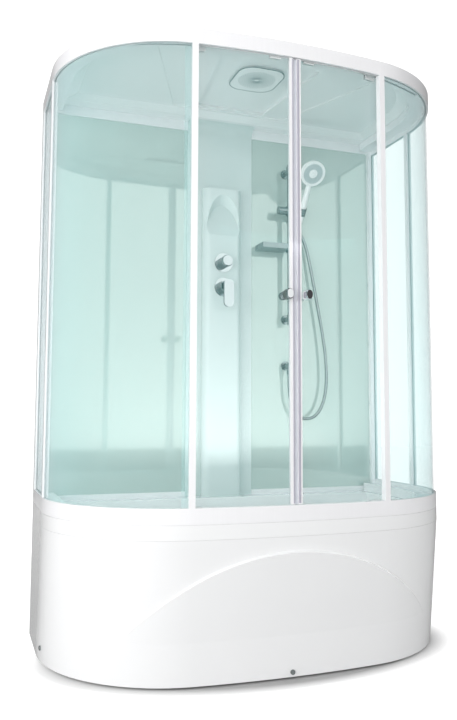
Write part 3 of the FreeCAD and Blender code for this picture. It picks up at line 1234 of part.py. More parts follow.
def soap_dish():
    """Open dish beside the rail on a clamp that slides along it."""
    z = DISH_Z
    clamp = rod("dish_clamp", "clamp_radius", "clamp_height",
                ("rail_x", RAIL_Y, z + " - clamp_height / 2"))
    right = "rail_x - dish_offset"
    x = (right + " - dish_length", right)
    y = (RAIL_Y + " - dish_depth / 2", RAIL_Y + " + dish_depth / 2")
    tray = box("dish_tray", x, y, (z + " - dish_tall / 2", z + " + dish_tall / 2"))
    hollow = box("dish_hollow", (x[0] + " + dish_wall", x[1] + " - clamp_radius"),
                 (y[0] + " + dish_wall", y[1] + " - dish_wall"),
                 (z + " - dish_tall / 2 + dish_wall", z + " + dish_tall"))
    bore = rod("dish_bore", "bar_radius + slide_gap", "3 * clamp_height",
               ("rail_x", RAIL_Y, z + " - 1.5 * clamp_height"))
    node(cut("dish", fuse("dish_whole", clamp, tray), hollow, bore), "soap_dish")


def outlet_elbow():
    """Wall elbow that turns the water down into the hose."""
    plate = rod("elbow_plate", "rosette_radius", "rosette_thickness",
                ("rail_x", PANEL_Y, "elbow_height"), "-y")
    out = rod("elbow_out", "elbow_radius", "elbow_reach", ("rail_x", PANEL_Y, "elbow_height"), "-y")
    y = PANEL_Y + " - elbow_reach"
    knee = doc.addObject("Part::Sphere", "elbow_knee")
    bind(knee, Radius="elbow_radius")
    place(knee, "rail_x", y, "elbow_height")
    nut = rod("elbow_nut", "hose_nut_radius", "hose_nut_length", ("rail_x", y, "elbow_height"), "-z")
    shank = rod("elbow_shank", "shank_radius", "glass + elbow_radius",
                ("rail_x", PANEL_Y + " - elbow_radius", "elbow_height"), "+y")
    node(fuse("elbow", plate, out, knee, nut, shank), "outlet_elbow")


# corners of the hose: to the right of and behind its lower end, and above that end or as a share of its rise
HOSE_LOOP = [(0, 0, -52), (5, 0, -109), (23, -1, -163), (66, -2, -194), (118, -2, -186), (155, -1, -143),
             (176, 0, -76)]
HOSE_RISE = [(182, 1, 0.027), (170, 4, 0.224), (132, 9, 0.5), (97, 18, 0.733), (73, 26, 0.876)]


def shower_hose():
    """Hose from the elbow's nut down in a loop and up to the tail of the hand shower."""
    start = VEC(value("rail_x"), value(PANEL_Y + " - elbow_reach"),
                value("elbow_height - hose_nut_length - seat_gap"))
    tilt = math.radians(value("holder_tilt"))
    tail = value("tail_length")
    holder = VEC(value("holder_x"), value("holder_y"), value(SLIDER_Z))
    lean = VEC(0, -math.sin(tilt), math.cos(tilt))
    end = holder - lean * (tail + value("seat_gap"))
    route = [start] + [start + VEC(*offset) for offset in HOSE_LOOP]
    route += [start + VEC(x, y, share * (end.z - start.z)) for x, y, share in HOSE_RISE]
    route += [end - lean * value("hose_end_run"), end]

    def largest(before, corner, after):
        shorter = min((corner - before).Length, (after - corner).Length)
        return 0.45 * shorter / math.tan((corner - before).getAngle(after - corner) / 2)

    thing, wire, radii = tube("hose_tube", route, value("hose_radius"), largest, value("hose_bore"))
    print("hose length %.0f mm, bend radii %s" % (wire.Length, [round(r) for r in radii]))
    node(thing, "shower_hose")


shower_tray()
front_apron()
tray_frame()
feet()
apron_fixings()
drain()
rails()
posts()
fixed_glass()
door_leaf()
door_hangers()
rollers()
door_guides()
door_knob()
back_panels()
shower_column()
roof()
rain_head()
valve()
handles()
feed_pipes()
slide_rail()
slider()
hand_shower()
soap_dish()
outlet_elbow()
shower_hose()
doc.recompute()

for thing in doc.Objects:
    if "Invalid" in thing.State or "Error" in thing.State:
        raise RuntimeError("%s failed: %s" % (thing.Name, thing.State))
for piece in NODES:
    if piece.Shape.isNull() or not piece.Shape.isValid():
        raise RuntimeError(piece.Label + " has no valid shape")
os.makedirs("parts", exist_ok=True)
for piece in NODES:
    piece.Shape.exportStep("parts/%s.step" % piece.Label)
print("%d nodes, %d solids" % (len(NODES), sum(len(piece.Shape.Solids) for piece in NODES)))
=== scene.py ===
"""Looks of a shower cabin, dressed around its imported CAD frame.

The script is laid out as an add-on with one operator for each group of pieces. Run as a script, it calls
them in order: finishes of the CAD pieces, hose, spray nozzles, seals, screws, and the studio.
"""

import math

import bmesh
import bpy
import numpy as np
from bpy.props import FloatProperty, FloatVectorProperty, IntProperty, PointerProperty
from mathutils import Matrix, Vector


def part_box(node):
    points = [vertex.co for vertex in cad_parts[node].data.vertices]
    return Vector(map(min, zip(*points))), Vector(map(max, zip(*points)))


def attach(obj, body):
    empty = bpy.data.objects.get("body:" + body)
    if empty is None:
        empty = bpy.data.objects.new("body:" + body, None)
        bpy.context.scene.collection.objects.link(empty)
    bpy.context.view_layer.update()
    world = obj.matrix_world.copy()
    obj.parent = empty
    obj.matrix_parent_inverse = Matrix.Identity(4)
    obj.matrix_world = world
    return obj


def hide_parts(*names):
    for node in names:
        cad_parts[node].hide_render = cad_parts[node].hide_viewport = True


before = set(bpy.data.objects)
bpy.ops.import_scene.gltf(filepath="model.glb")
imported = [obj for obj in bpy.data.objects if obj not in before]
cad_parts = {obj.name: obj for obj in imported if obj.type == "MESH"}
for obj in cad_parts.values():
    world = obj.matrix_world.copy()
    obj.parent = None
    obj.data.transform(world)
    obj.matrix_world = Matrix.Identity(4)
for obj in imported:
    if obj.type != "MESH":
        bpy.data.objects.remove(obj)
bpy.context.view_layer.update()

bl_info = {
    "name": "Shower cabin looks",
    "version": (1, 0, 0),
    "blender": (4, 5, 0),
    "location": "3D View > Sidebar > Cabin",
    "description": "Finishes, nozzles, seals, screws, hose and studio for a shower cabin",
    "category": "Object",
}

PHOTO_WIDTH, PHOTO_HEIGHT = 457, 720


def length(title, tip, default):
    return FloatProperty(name=title, description=tip, default=default, min=0.0, unit="LENGTH")


def colour(title, tip, default):
    return FloatVectorProperty(name=title, description=tip, default=default, size=3, min=0.0, max=1.0,
                               subtype="COLOR")


def share(title, tip, default, top=1.0):
    return FloatProperty(name=title, description=tip, default=default, min=0.0, max=top)


def power(title, tip, default):
    return FloatProperty(name=title, description=tip, default=default, min=0.0, unit="POWER")


def count(title, tip, default):
    return IntProperty(name=title, description=tip, default=default, min=1)


class CabinColours(bpy.types.PropertyGroup):
    """Base colours of the cabin's finishes."""

    moulding: colour("Mouldings", "Tray, apron, roof and column", (0.86, 0.865, 0.87))
    # painted shade: the column's white moulding gets a darker, greener tone for the shade inside the cabin
    inner: colour("Column", "Moulding of the column, in the cabin's own shade", (0.63, 0.70, 0.69))
    profile: colour("Profiles", "Rails, posts and stiles", (0.86, 0.86, 0.875))
    plastic: colour("Fittings", "White plastic of the fittings", (0.84, 0.86, 0.86))
    clear_glass: colour("Clear glass", "Haze of the doors and fixed glass", (0.44, 0.92, 0.92))
    glass_edge: colour("Glass at a glance", "Haze of clear glass seen along the sheet", (0.80, 0.92, 0.95))
    green_glass: colour("Back glass", "Tinted glass of the back wall", (0.585, 0.675, 0.635))
    chrome: colour("Chrome", "Plated metal of the handles", (0.86, 0.89, 0.90))
    satin: colour("Satin chrome", "Duller plating of the slide rail and what is on it", (0.40, 0.44, 0.44))
    steel: colour("Steel", "Frame and bolts under the tray", (0.50, 0.52, 0.54))
    rubber: colour("Rubber", "Foot pads", (0.035, 0.035, 0.037))
    seal: colour("Seal strip", "Soft strip between the doors", (0.66, 0.68, 0.74))
    lip: colour("Seal lip", "Lilac lip along a stile", (0.42, 0.41, 0.48))
    waste: colour("Waste plastic", "Waste, pipes and rollers", (0.70, 0.71, 0.71))
    spray: colour("Spray face", "Grey face of the hand shower", (0.46, 0.52, 0.53))
    hose: colour("Hose", "Wound skin of the hose", (0.50, 0.54, 0.54))
    # painted shadow: a dark ring round the rain head's foot; the rain nozzles share this colour
    seam: colour("Seam", "Shadow line round the rain head, and its nozzles", (0.20, 0.25, 0.25))
    dark: colour("Dark cap", "Cap on the right-hand knob", (0.012, 0.012, 0.016))


class CabinSizes(bpy.types.PropertyGroup):
    """Sizes of the pieces that are made here."""

    hose_radius: length("Hose radius", "Outside radius of the hose", 0.007)
    hose_pitch: length("Hose pitch", "From one ridge of the hose to the next", 0.0032)
    hose_groove: length("Hose groove", "Depth between the ridges", 0.0007)
    nozzle_radius: length("Nozzle radius", "Foot of one spray nozzle", 0.0019)
    nozzle_height: length("Nozzle height", "How far a nozzle stands out", 0.0016)
    rain_rings: count("Rain rings", "Rings of nozzles in the rain head", 9)
    rain_spokes: count("Rain spokes", "Nozzles in each ring of the rain head", 36)
    rain_inner: length("Rain inner ring", "Radius of the rain head's inner ring of nozzles", 0.012)
    rain_step: length("Rain ring step", "From one ring of the rain head to the next", 0.0070)
    hand_rings: count("Hand rings", "Rings of nozzles in the hand shower", 3)
    hand_spokes: count("Hand spokes", "Nozzles in each ring of the hand shower", 22)
    button_radius: length("Button radius", "Button in the middle of the spray face", 0.0188)
    button_height: length("Button height", "How far the button's crown stands out", 0.0022)
    screw_radius: length("Screw radius", "Head of a fixing screw", 0.0055)
    screw_height: length("Screw height", "Height of a fixing screw's head", 0.0026)
    shadow_ring_width: length("Shadow ring width", "Shadow line round the rain head", 0.0035)
    lip_height: length("Lip height", "How far a seal lip stands out", 0.0012)


class CabinStudio(bpy.types.PropertyGroup):
    """Light of the studio."""

    sky_front: share("Sky in front", "Strength of the light from the front and above", 0.34, 10.0)
    sky_left: share("Sky on the left", "Strength of the light from the left", 0.80, 10.0)
    sky_right: share("Sky on the right", "Strength of the light from the right", 0.66, 10.0)
    sheen_front: share("Sheen in front", "What gloss mirrors of the room in front", 1.15, 10.0)
    sheen_side: share("Sheen beside", "What gloss mirrors of the room to the sides and behind", 0.22, 10.0)
    backdrop: share("Backdrop", "Brightness of the backdrop behind the cabin", 1.2, 10.0)
    floor_glow: share("Floor glow", "Light that the floor shows by itself", 0.82)
    key: power("Key", "Large light at the front left", 152.0)
    left: power("Left", "Large light on the left", 58.0)
    right: power("Right", "Narrow light on the right", 4.0)
    top: power("Top", "Large light overhead", 45.0)
    back: power("Back", "Large light behind the cabin", 110.0)
    fill: power("Fill", "Soft light under the roof, onto the back wall", 0.3)
    bounce: power("Bounce", "Soft light from the tray, up to the roof", 3.8)


# nodes and arithmetic


class Wire:
    """A node's output that takes part in arithmetic, which adds Math nodes to its tree."""

    def __init__(self, plan, socket):
        self.plan, self.socket = plan, socket

    def maths(self, operation, *values):
        return self.plan.node("ShaderNodeMath", {"operation": operation}, dict(enumerate(values)))

    def __add__(self, other):
        return self.maths("ADD", self, other)

    def __sub__(self, other):
        return self.maths("SUBTRACT", self, other)

    def __rsub__(self, other):
        return self.maths("SUBTRACT", other, self)

    def __mul__(self, other):
        return self.maths("MULTIPLY", self, other)

    def __truediv__(self, other):
        return self.maths("DIVIDE", self, other)

    def __mod__(self, other):
        return self.maths("FLOORED_MODULO", self, other)

    def __pow__(self, other):
        return self.maths("POWER", self, other)

    __radd__, __rmul__ = __add__, __mul__


class Plan:
    """A node tree and the one method that adds nodes to it."""

    def __init__(self, tree):
        self.tree = tree

    def feed(self, socket, value):
        if isinstance(value, Wire):
            self.tree.links.new(value.socket, socket)
        else:
            socket.default_value = value

    def node(self, kind, settings=None, inputs=None, output=0):
        made = self.tree.nodes.new(kind)
        for name, setting in (settings or {}).items():
            if name == "stops":
                for stop, (place, tone) in zip(made.color_ramp.elements, setting):
                    stop.position, stop.color = place, tone
            else:
                setattr(made, name, setting)
        for key, value in (inputs or {}).items():
            self.feed(made.inputs[key], value)
        return Wire(self, made.outputs[output])


class Finish(Plan):
    """A procedural material with one surface shader."""

    def __init__(self, name, **sockets):
        self.material = bpy.data.materials.new(name)
        self.material.use_nodes = True
        super().__init__(self.material.node_tree)
        self.surface = self.tree.nodes["Principled BSDF"]
        for socket, value in sockets.items():
            self.set(socket.replace("_", " "), value)

    def set(self, socket, value):
        self.feed(self.surface.inputs[socket], value)

    def spot(self, stretch=(1.0, 1.0, 1.0)):
        """Object coordinates, stretched along the axes."""
        coordinates = self.node("ShaderNodeTexCoord", output="Object")
        return self.node("ShaderNodeMapping", inputs={"Vector": coordinates, "Scale": stretch})

    def noise(self, scale, detail=2.0, stretch=(1.0, 1.0, 1.0)):
        return self.node("ShaderNodeTexNoise", inputs={"Vector": self.spot(stretch), "Scale": scale,
                                                       "Detail": detail})

    def blend(self, amount, first, second):
        """A colour between two, by an amount from 0 to 1."""
        return self.node("ShaderNodeMix", {"data_type": "RGBA"},
                         {"Factor": amount, 6: (*first, 1.0), 7: (*second, 1.0)}, output=2)

    def bump(self, height, strength, distance):
        self.set("Normal", self.node("ShaderNodeBump", inputs={"Height": height, "Strength": strength,
                                                               "Distance": distance}))


def shaded(tone, factor):
    return tuple(min(1.0, c * factor) for c in tone)


def moulded_white(name, tone, roughness, ripple):
    """Gloss moulding: nearly even colour, a slow ripple and slightly uneven gloss."""
    finish = Finish(name, Coat_Weight=0.6, Coat_Roughness=0.05)
    cloud = finish.noise(3.0)
    finish.set("Base Color", finish.blend(cloud, shaded(tone, 0.985), shaded(tone, 1.015)))
    finish.set("Roughness", roughness + 0.06 * finish.noise(14.0))
    finish.bump(finish.noise(22.0, 1.0), ripple, 0.001)
    return finish.material


def painted_profile(name, tone):
    """Powder coat on drawn metal: a fine pebble and faint draw lines along the height."""
    finish = Finish(name, Coat_Weight=0.35, Coat_Roughness=0.08)
    lines = finish.noise(160.0, 1.0, (1.0, 1.0, 0.01))
    finish.set("Base Color", finish.blend(lines, shaded(tone, 0.98), shaded(tone, 1.01)))
    finish.set("Roughness", 0.20 + 0.08 * finish.noise(30.0))
    finish.bump(finish.noise(900.0, 1.0), 0.05, 0.0004)
    return finish.material


HAZE, WATER_MARKS, GLANCE_HAZE = 0.065, 0.012, 0.30  # what clear glass hides: head on, in its marks, along it


def see_through_glass(name, tone, edge_tone):
    """Clear safety glass: an aqua haze that thickens and pales at a glancing angle, with soft water marks."""
    finish = Finish(name, Roughness=0.03, IOR=1.5)
    glance = finish.node("ShaderNodeLayerWeight", inputs={"Blend": 0.5}, output="Facing")
    marks = finish.noise(5.0, 3.0, (1.0, 1.0, 0.25))
    finish.set("Base Color", finish.blend(glance ** 2.0, tone, edge_tone))
    finish.set("Alpha", HAZE + WATER_MARKS * marks + GLANCE_HAZE * glance ** 2.0)
    return finish.material


def tinted_glass(name, tone):
    """Green glass of the back wall: glossy, with a slow drift of tone down the sheet."""
    finish = Finish(name, Metallic=0.40, IOR=1.5, Coat_Weight=0.7, Coat_Roughness=0.02)
    drift = finish.noise(1.6, 1.0, (1.0, 1.0, 0.35))
    finish.set("Base Color", finish.blend(drift, shaded(tone, 0.96), shaded(tone, 1.04)))
    finish.set("Roughness", 0.03 + 0.03 * finish.noise(9.0))
    return finish.material


def dark_ended(name, tone, dark, centre, radius, stretch):
    """Plating with a dark oval inset on the end that faces the room, inside a bright rim."""
    finish = Finish(name)
    away = finish.node("ShaderNodeVectorMath", {"operation": "DISTANCE"},
                       {0: finish.spot((stretch, 1.0, 1.0)), 1: (centre.x * stretch, centre.y, centre.z)},
                       output="Value")
    inset = finish.node("ShaderNodeMath", {"operation": "LESS_THAN"}, {0: away, 1: radius})
    finish.set("Base Color", finish.blend(inset, tone, dark))
    finish.set("Metallic", 1.0 - inset)
    finish.set("Roughness", 0.05 + 0.05 * finish.noise(220.0))
    return finish.material


def painted_shade_plating(name, tone, roughness, blend=0.5, depth=0.25):
    """Bright plating with faint polish marks, and painted shade: the colour darkens where the surface turns
    away from the view, as if its sides mirrored a dark room.
    """
    finish = Finish(name, Metallic=1.0)
    polish = finish.noise(220.0, 2.0)
    glance = finish.node("ShaderNodeLayerWeight", inputs={"Blend": blend}, output="Facing")
    # painted shade: the base colour falls towards depth times the tone where the surface turns away
    finish.set("Base Color", finish.blend(glance, tone, shaded(tone, depth)))
    finish.set("Roughness", roughness + 0.05 * polish)
    return finish.material


def grained(name, tone, roughness, metallic=0.0, grain=500.0, depth=0.15):
    """Satin surface with a fine even grain, for plastics, rubber and galvanised steel."""
    finish = Finish(name, Metallic=metallic)
    cloud = finish.noise(40.0, 3.0)
    finish.set("Base Color", finish.blend(cloud, shaded(tone, 0.93), shaded(tone, 1.07)))
    finish.set("Roughness", roughness + 0.12 * cloud)
    finish.bump(finish.noise(grain, 1.0), depth, 0.0003)
    return finish.material


KNOB_FACE = 0.001  # how deep the flat end of a knob is looked for, in metres
KNOB_INSET = 0.52  # radius of the dark inset as a share of the end's height


def knob_end(node):
    """Middle and upright radius of the dark inset on a knob's end, and how much taller than wide it is."""
    low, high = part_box(node)
    points = [v.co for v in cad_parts[node].data.vertices if v.co.y < low.y + KNOB_FACE]
    wide, tall = (max(p[axis] for p in points) - min(p[axis] for p in points) for axis in (0, 2))
    middle = (max(p.x for p in points) + min(p.x for p in points)) / 2
    return Vector((middle, low.y, (low.z + high.z) / 2)), KNOB_INSET * tall, tall / wide


def cabin_finishes(tones):
    """The materials by name, each built once."""
    return {
        "white_moulding": moulded_white("gloss_moulding", tones.moulding, 0.07, 0.008),
        # painted shade: the column's moulding is a darker copy of the white moulding
        "column_painted_shade": moulded_white("column_moulding", tones.inner, 0.07, 0.008),
        "white_profile": painted_profile("coated_profile", tones.profile),
        "white_plastic": moulded_white("gloss_fitting", tones.plastic, 0.12, 0.02),
        "clear_glass": see_through_glass("clear_sheet", tones.clear_glass, tones.glass_edge),
        "green_glass": tinted_glass("green_sheet", tones.green_glass),
        # painted shade: bright_plating and satin_plating darken their colour on sides that turn away
        "chrome": painted_shade_plating("bright_plating", tones.chrome, 0.04, blend=0.78, depth=0.08),
        "satin_chrome": painted_shade_plating("satin_plating", tones.satin, 0.16),
        "frame_steel": grained("galvanised_tube", tones.steel, 0.34, metallic=0.8, grain=260.0),
        "bolt_steel": grained("zinc_bolt", shaded(tones.steel, 1.15), 0.28, metallic=0.9, grain=700.0),
        "foot_rubber": grained("black_rubber", tones.rubber, 0.62, grain=900.0, depth=0.3),
        "seal_strip": grained("soft_strip", tones.seal, 0.30, grain=300.0, depth=0.05),
        "roller_plastic": grained("roller_nylon", shaded(tones.waste, 1.12), 0.36),
        "drain_plastic": grained("waste_plastic", tones.waste, 0.34),
        "spray_plastic": grained("spray_grey", tones.spray, 0.30, grain=600.0, depth=0.06),
        # painted shade: the hose's colour darkens on its sides as they turn away
        "hose_skin": painted_shade_plating("wound_hose", tones.hose, 0.24),
        "seal_lip": grained("lilac_lip", tones.lip, 0.30, grain=300.0, depth=0.05),
        # painted shadow: the dark ring round the rain head; the rain nozzles share this material
        "shadow_ring_and_nozzles": grained("seam_shadow", tones.seam, 0.40, grain=300.0, depth=0.05),
        "dark_knob": dark_ended("dark_ended_knob", tones.chrome, tones.dark, *knob_end("right_door_knob")),
    }


FINISHES = {}


def finish_of(name):
    if not FINISHES:
        FINISHES.update(cabin_finishes(bpy.context.scene.cabin_colours))
    return FINISHES[name]


# meshes


def new_piece(name, mesh, material, body):
    """A finished piece at the origin that rides on a CAD body."""
    made = bpy.data.objects.new(name, mesh)
    bpy.context.scene.collection.objects.link(made)
    mesh.materials.clear()
    mesh.materials.append(finish_of(material))
    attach(made, body)
    return made


def mesh_of(name, shape, smooth=0.6):
    """A mesh from a bmesh, merged, with its faces outwards and sharp only past an angle."""
    bmesh.ops.remove_doubles(shape, verts=shape.verts, dist=1e-6)
    bmesh.ops.recalc_face_normals(shape, faces=shape.faces)
    mesh = bpy.data.meshes.new(name)
    shape.to_mesh(mesh)
    shape.free()
    mesh.shade_smooth()
    mesh.set_sharp_from_angle(angle=smooth)
    return mesh


def turned(shape, profile, place, sides=48):
    """Turn a closed profile of (radius, height) points about the place's own z axis."""
    rings = []
    for radius, height in profile:
        count = sides if radius > 1e-9 else 1
        ring = [shape.verts.new(place @ Vector((radius * math.cos(math.tau * k / sides),
                                                radius * math.sin(math.tau * k / sides), height)))
                for k in range(count)]
        rings.append(ring)
    for lower, upper in zip(rings, rings[1:]):
        for k in range(sides):
            corners = [lower[k % len(lower)], lower[(k + 1) % len(lower)],
                       upper[(k + 1) % len(upper)], upper[k % len(upper)]]
            corners = list(dict.fromkeys(corners))
            if len(corners) > 2:
                shape.faces.new(corners)


def bar(shape, section, low, high):
    """Draw a closed section of (x, y) points from one height to another."""
    ends = [[shape.verts.new((x, y, z)) for x, y in section] for z in (low, high)]
    shape.faces.new(ends[0])
    shape.faces.new(ends[1])
    for k in range(len(section)):
        after = (k + 1) % len(section)
        shape.faces.new([ends[0][k], ends[0][after], ends[1][after], ends[1][k]])


def ring(shape, inner, outer, low, high):
    """A flat ring between two plans of as many (x, y) points, from one height to another."""
    rows = [[shape.verts.new((x, y, z)) for x, y in plan]
            for plan, z in ((inner, low), (outer, low), (outer, high), (inner, high))]
    for row, following in zip(rows, rows[1:] + rows[:1]):
        for k in range(len(row)):
            after = (k + 1) % len(row)
            shape.faces.new([row[k], row[after], following[after], following[k]])


def disc_place(node, towards):
    """Middle, facing and radius of a round flat CAD piece, from how its points spread."""
    points = np.array([v.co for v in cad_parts[node].data.vertices])
    middle = (points.min(0) + points.max(0)) / 2
    spread = np.linalg.svd(points - points.mean(0), full_matrices=False)[2]
    facing = Vector(spread[2])
    if facing.dot(Vector(towards)) < 0:
        facing = -facing
    reach = (points - middle) @ np.array(facing)
    centre = Vector(middle) + facing * float(reach.max())
    radius = float(np.linalg.norm((points - middle) - np.outer(reach, facing), axis=1).max())
    return centre, facing, radius


def standing(centre, facing):
    """A place whose z axis looks along facing."""
    return Matrix.Translation(centre) @ facing.to_track_quat("Z", "Y").to_matrix().to_4x4()


# Geometry Nodes


class Recipe(Plan):
    """A Geometry Nodes tree with named inputs."""

    def __init__(self, name):
        super().__init__(bpy.data.node_groups.new(name, "GeometryNodeTree"))
        self.tree.interface.new_socket("Geometry", in_out="INPUT", socket_type="NodeSocketGeometry")
        self.tree.interface.new_socket("Geometry", in_out="OUTPUT", socket_type="NodeSocketGeometry")
        self.entry = self.tree.nodes.new("NodeGroupInput")
        self.exit = self.tree.nodes.new("NodeGroupOutput")
        self.values = {}

    def source(self):
        return Wire(self, self.entry.outputs["Geometry"])

    def input(self, name, value, kind="NodeSocketFloat"):
        socket = self.tree.interface.new_socket(name, in_out="INPUT", socket_type=kind)
        self.values[socket.identifier] = value
        return Wire(self, self.entry.outputs[name])

    def made_from(self, geometry, mesh, material):
        """Close the tree, run it on a mesh and return the plain mesh that it gives."""
        solid = self.node("GeometryNodeRealizeInstances", inputs={"Geometry": geometry})
        coated = self.node("GeometryNodeSetMaterial", inputs={"Geometry": solid, "Material": material})
        self.feed(self.exit.inputs["Geometry"], coated)
        carrier = bpy.data.objects.new(self.tree.name, mesh)
        bpy.context.scene.collection.objects.link(carrier)
        modifier = carrier.modifiers.new(self.tree.name, "NODES")
        modifier.node_group = self.tree
        for identifier, value in self.values.items():
            modifier[identifier] = value
        graph = bpy.context.evaluated_depsgraph_get()
        made = bpy.data.meshes.new_from_object(carrier.evaluated_get(graph))
        carrier.modifiers.remove(modifier)
        bpy.data.objects.remove(carrier)
        return made


NOZZLE_SIDES, NOZZLE_TIP = 8, 0.55  # sides of a nozzle's cone, and its tip as a share of its foot
SWIRL = 0.5  # each ring is turned by this share of the space between its nozzles


def nozzle_field(name, rings, spokes, inner, step):
    """Rings of small cone nozzles in the xy plane, standing along z."""
    sizes = bpy.context.scene.cabin_sizes
    recipe = Recipe(name)
    spokes_in = recipe.input("Spokes", spokes, "NodeSocketInt")
    total = recipe.input("Nozzles", rings * spokes, "NodeSocketInt")
    inner_in = recipe.input("Inner ring", inner)
    step_in = recipe.input("Ring step", step)
    foot = recipe.input("Nozzle radius", sizes.nozzle_radius)
    tall = recipe.input("Nozzle height", sizes.nozzle_height)
    swirl_in = recipe.input("Swirl", SWIRL)
    line = recipe.node("GeometryNodeMeshLine", inputs={"Count": total})
    index = recipe.node("GeometryNodeInputIndex")
    row = recipe.node("ShaderNodeMath", {"operation": "FLOOR"}, {0: index / spokes_in})
    angle = (index % spokes_in + row * swirl_in) * math.tau / spokes_in
    radius = inner_in + row * step_in
    across = radius * recipe.node("ShaderNodeMath", {"operation": "COSINE"}, {0: angle})
    along = radius * recipe.node("ShaderNodeMath", {"operation": "SINE"}, {0: angle})
    spot = recipe.node("ShaderNodeCombineXYZ", inputs={"X": across, "Y": along})
    points = recipe.node("GeometryNodeSetPosition", inputs={"Geometry": line, "Position": spot})
    cone = recipe.node("GeometryNodeMeshCone", inputs={"Vertices": NOZZLE_SIDES, "Radius Bottom": foot,
                                                       "Radius Top": foot * NOZZLE_TIP, "Depth": tall})
    nozzles = recipe.node("GeometryNodeInstanceOnPoints", inputs={"Points": points, "Instance": cone})
    return recipe, nozzles


# operators

# CAD pieces that look other than their material slot
OWN_FINISH = {
    "right_door_knob": "dark_knob", "shower_column": "column_painted_shade", "slide_rail": "satin_chrome",
    "rail_brackets": "satin_chrome", "rail_slider": "satin_chrome", "handset_holder": "satin_chrome",
    "soap_dish": "satin_chrome", "outlet_elbow": "satin_chrome", "apron_screws": "satin_chrome",
}


class CABIN_OT_dress_frame(bpy.types.Operator):
    """Give every CAD piece its finish"""

    bl_idname = "cabin.dress_frame"
    bl_label = "Dress the frame"

    def execute(self, context):
        for name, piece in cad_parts.items():
            slot = piece.data.materials[0].name.split(".")[0]
            piece.data.materials.clear()
            piece.data.materials.append(finish_of(OWN_FINISH.get(name, slot)))
        return {"FINISHED"}


# the hose's route in metres, from the elbow's nut down, round and up to the hand shower's tail
HOSE_ROUTE = (
    (0.306, 0.345, 1.0087), (0.306, 0.345, 0.9567), (0.311, 0.345, 0.8997), (0.329, 0.344, 0.8457),
    (0.372, 0.343, 0.8147), (0.424, 0.343, 0.8227), (0.461, 0.344, 0.8657), (0.482, 0.345, 0.9327),
    (0.488, 0.346, 1.0269), (0.476, 0.349, 1.1594), (0.443, 0.354, 1.3450), (0.416, 0.361, 1.5017),
    (0.395, 0.367, 1.5979), (0.358, 0.36455, 1.6538), (0.358, 0.34457, 1.6813),
)


HOSE_SIDES = 14  # points round the hose


def hose_track():
    """The hose's line, as a mesh of points read from one smooth spline along its route."""
    line = bpy.data.curves.new("hose_line", "CURVE")
    line.dimensions = "3D"
    line.resolution_u = 24
    spline = line.splines.new("NURBS")
    spline.points.add(len(HOSE_ROUTE) - 1)
    for point, place in zip(spline.points, HOSE_ROUTE):
        point.co = (*place, 1.0)
    spline.order_u = 3
    spline.use_endpoint_u = True
    carrier = bpy.data.objects.new("hose_line", line)
    bpy.context.scene.collection.objects.link(carrier)
    graph = bpy.context.evaluated_depsgraph_get()
    track = bpy.data.meshes.new_from_object(carrier.evaluated_get(graph))
    bpy.data.objects.remove(carrier)
    return track


class CABIN_OT_hang_hose(bpy.types.Operator):
    """Hang the wound hose between the elbow and the hand shower"""

    bl_idname = "cabin.hang_hose"
    bl_label = "Hang the hose"

    def execute(self, context):
        sizes = context.scene.cabin_sizes
        track = hose_track()
        recipe = Recipe("wound_hose_recipe")
        radius = recipe.input("Radius", sizes.hose_radius)
        groove = recipe.input("Groove", sizes.hose_groove)
        half_pitch = recipe.input("Half pitch", sizes.hose_pitch / 2)
        curve = recipe.node("GeometryNodeMeshToCurve", inputs={"Mesh": recipe.source()})
        rings = recipe.node("GeometryNodeResampleCurve", {"mode": "LENGTH"},
                            {"Curve": curve, "Length": half_pitch})
        ridge = recipe.node("GeometryNodeInputIndex") % 2.0
        girth = 1.0 - ridge * groove / radius
        circle = recipe.node("GeometryNodeCurvePrimitiveCircle", inputs={"Resolution": HOSE_SIDES,
                                                                         "Radius": radius})
        tube = recipe.node("GeometryNodeCurveToMesh", inputs={"Curve": rings, "Profile Curve": circle,
                                                              "Scale": girth, "Fill Caps": True})
        smooth = recipe.node("GeometryNodeSetShadeSmooth", inputs={"Geometry": tube})
        mesh = recipe.made_from(smooth, track, finish_of("hose_skin"))
        hose = new_piece("wound_hose", mesh, "hose_skin", "cabin")
        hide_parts("shower_hose")
        return {"FINISHED"}


RAIN_ROUND = 0.055  # corner radius of the rain head
ROUND_STEPS = 12  # points along a quarter turn
SHADOW_RING_LAP = 0.0005  # how far the painted shadow ring reaches under the rain head
SHADOW_RING_DROP, SHADOW_RING_RISE = 0.0004, 0.0016  # the painted shadow ring's faces below and above the foot of the rain head
HAND_LOOKS = (0, -1, -0.4)  # roughly where the spray face looks
HAND_INNER, HAND_STEP = 0.55, 0.16  # inner ring and ring step of the hand shower, as shares of its face
BUTTON_SUNK = 0.001  # how deep the button sits in the spray face
BUTTON_RIM = 0.0008  # height of the button's upright rim, and of the chamfer above it
BUTTON_EDGE = 0.001  # width of that chamfer


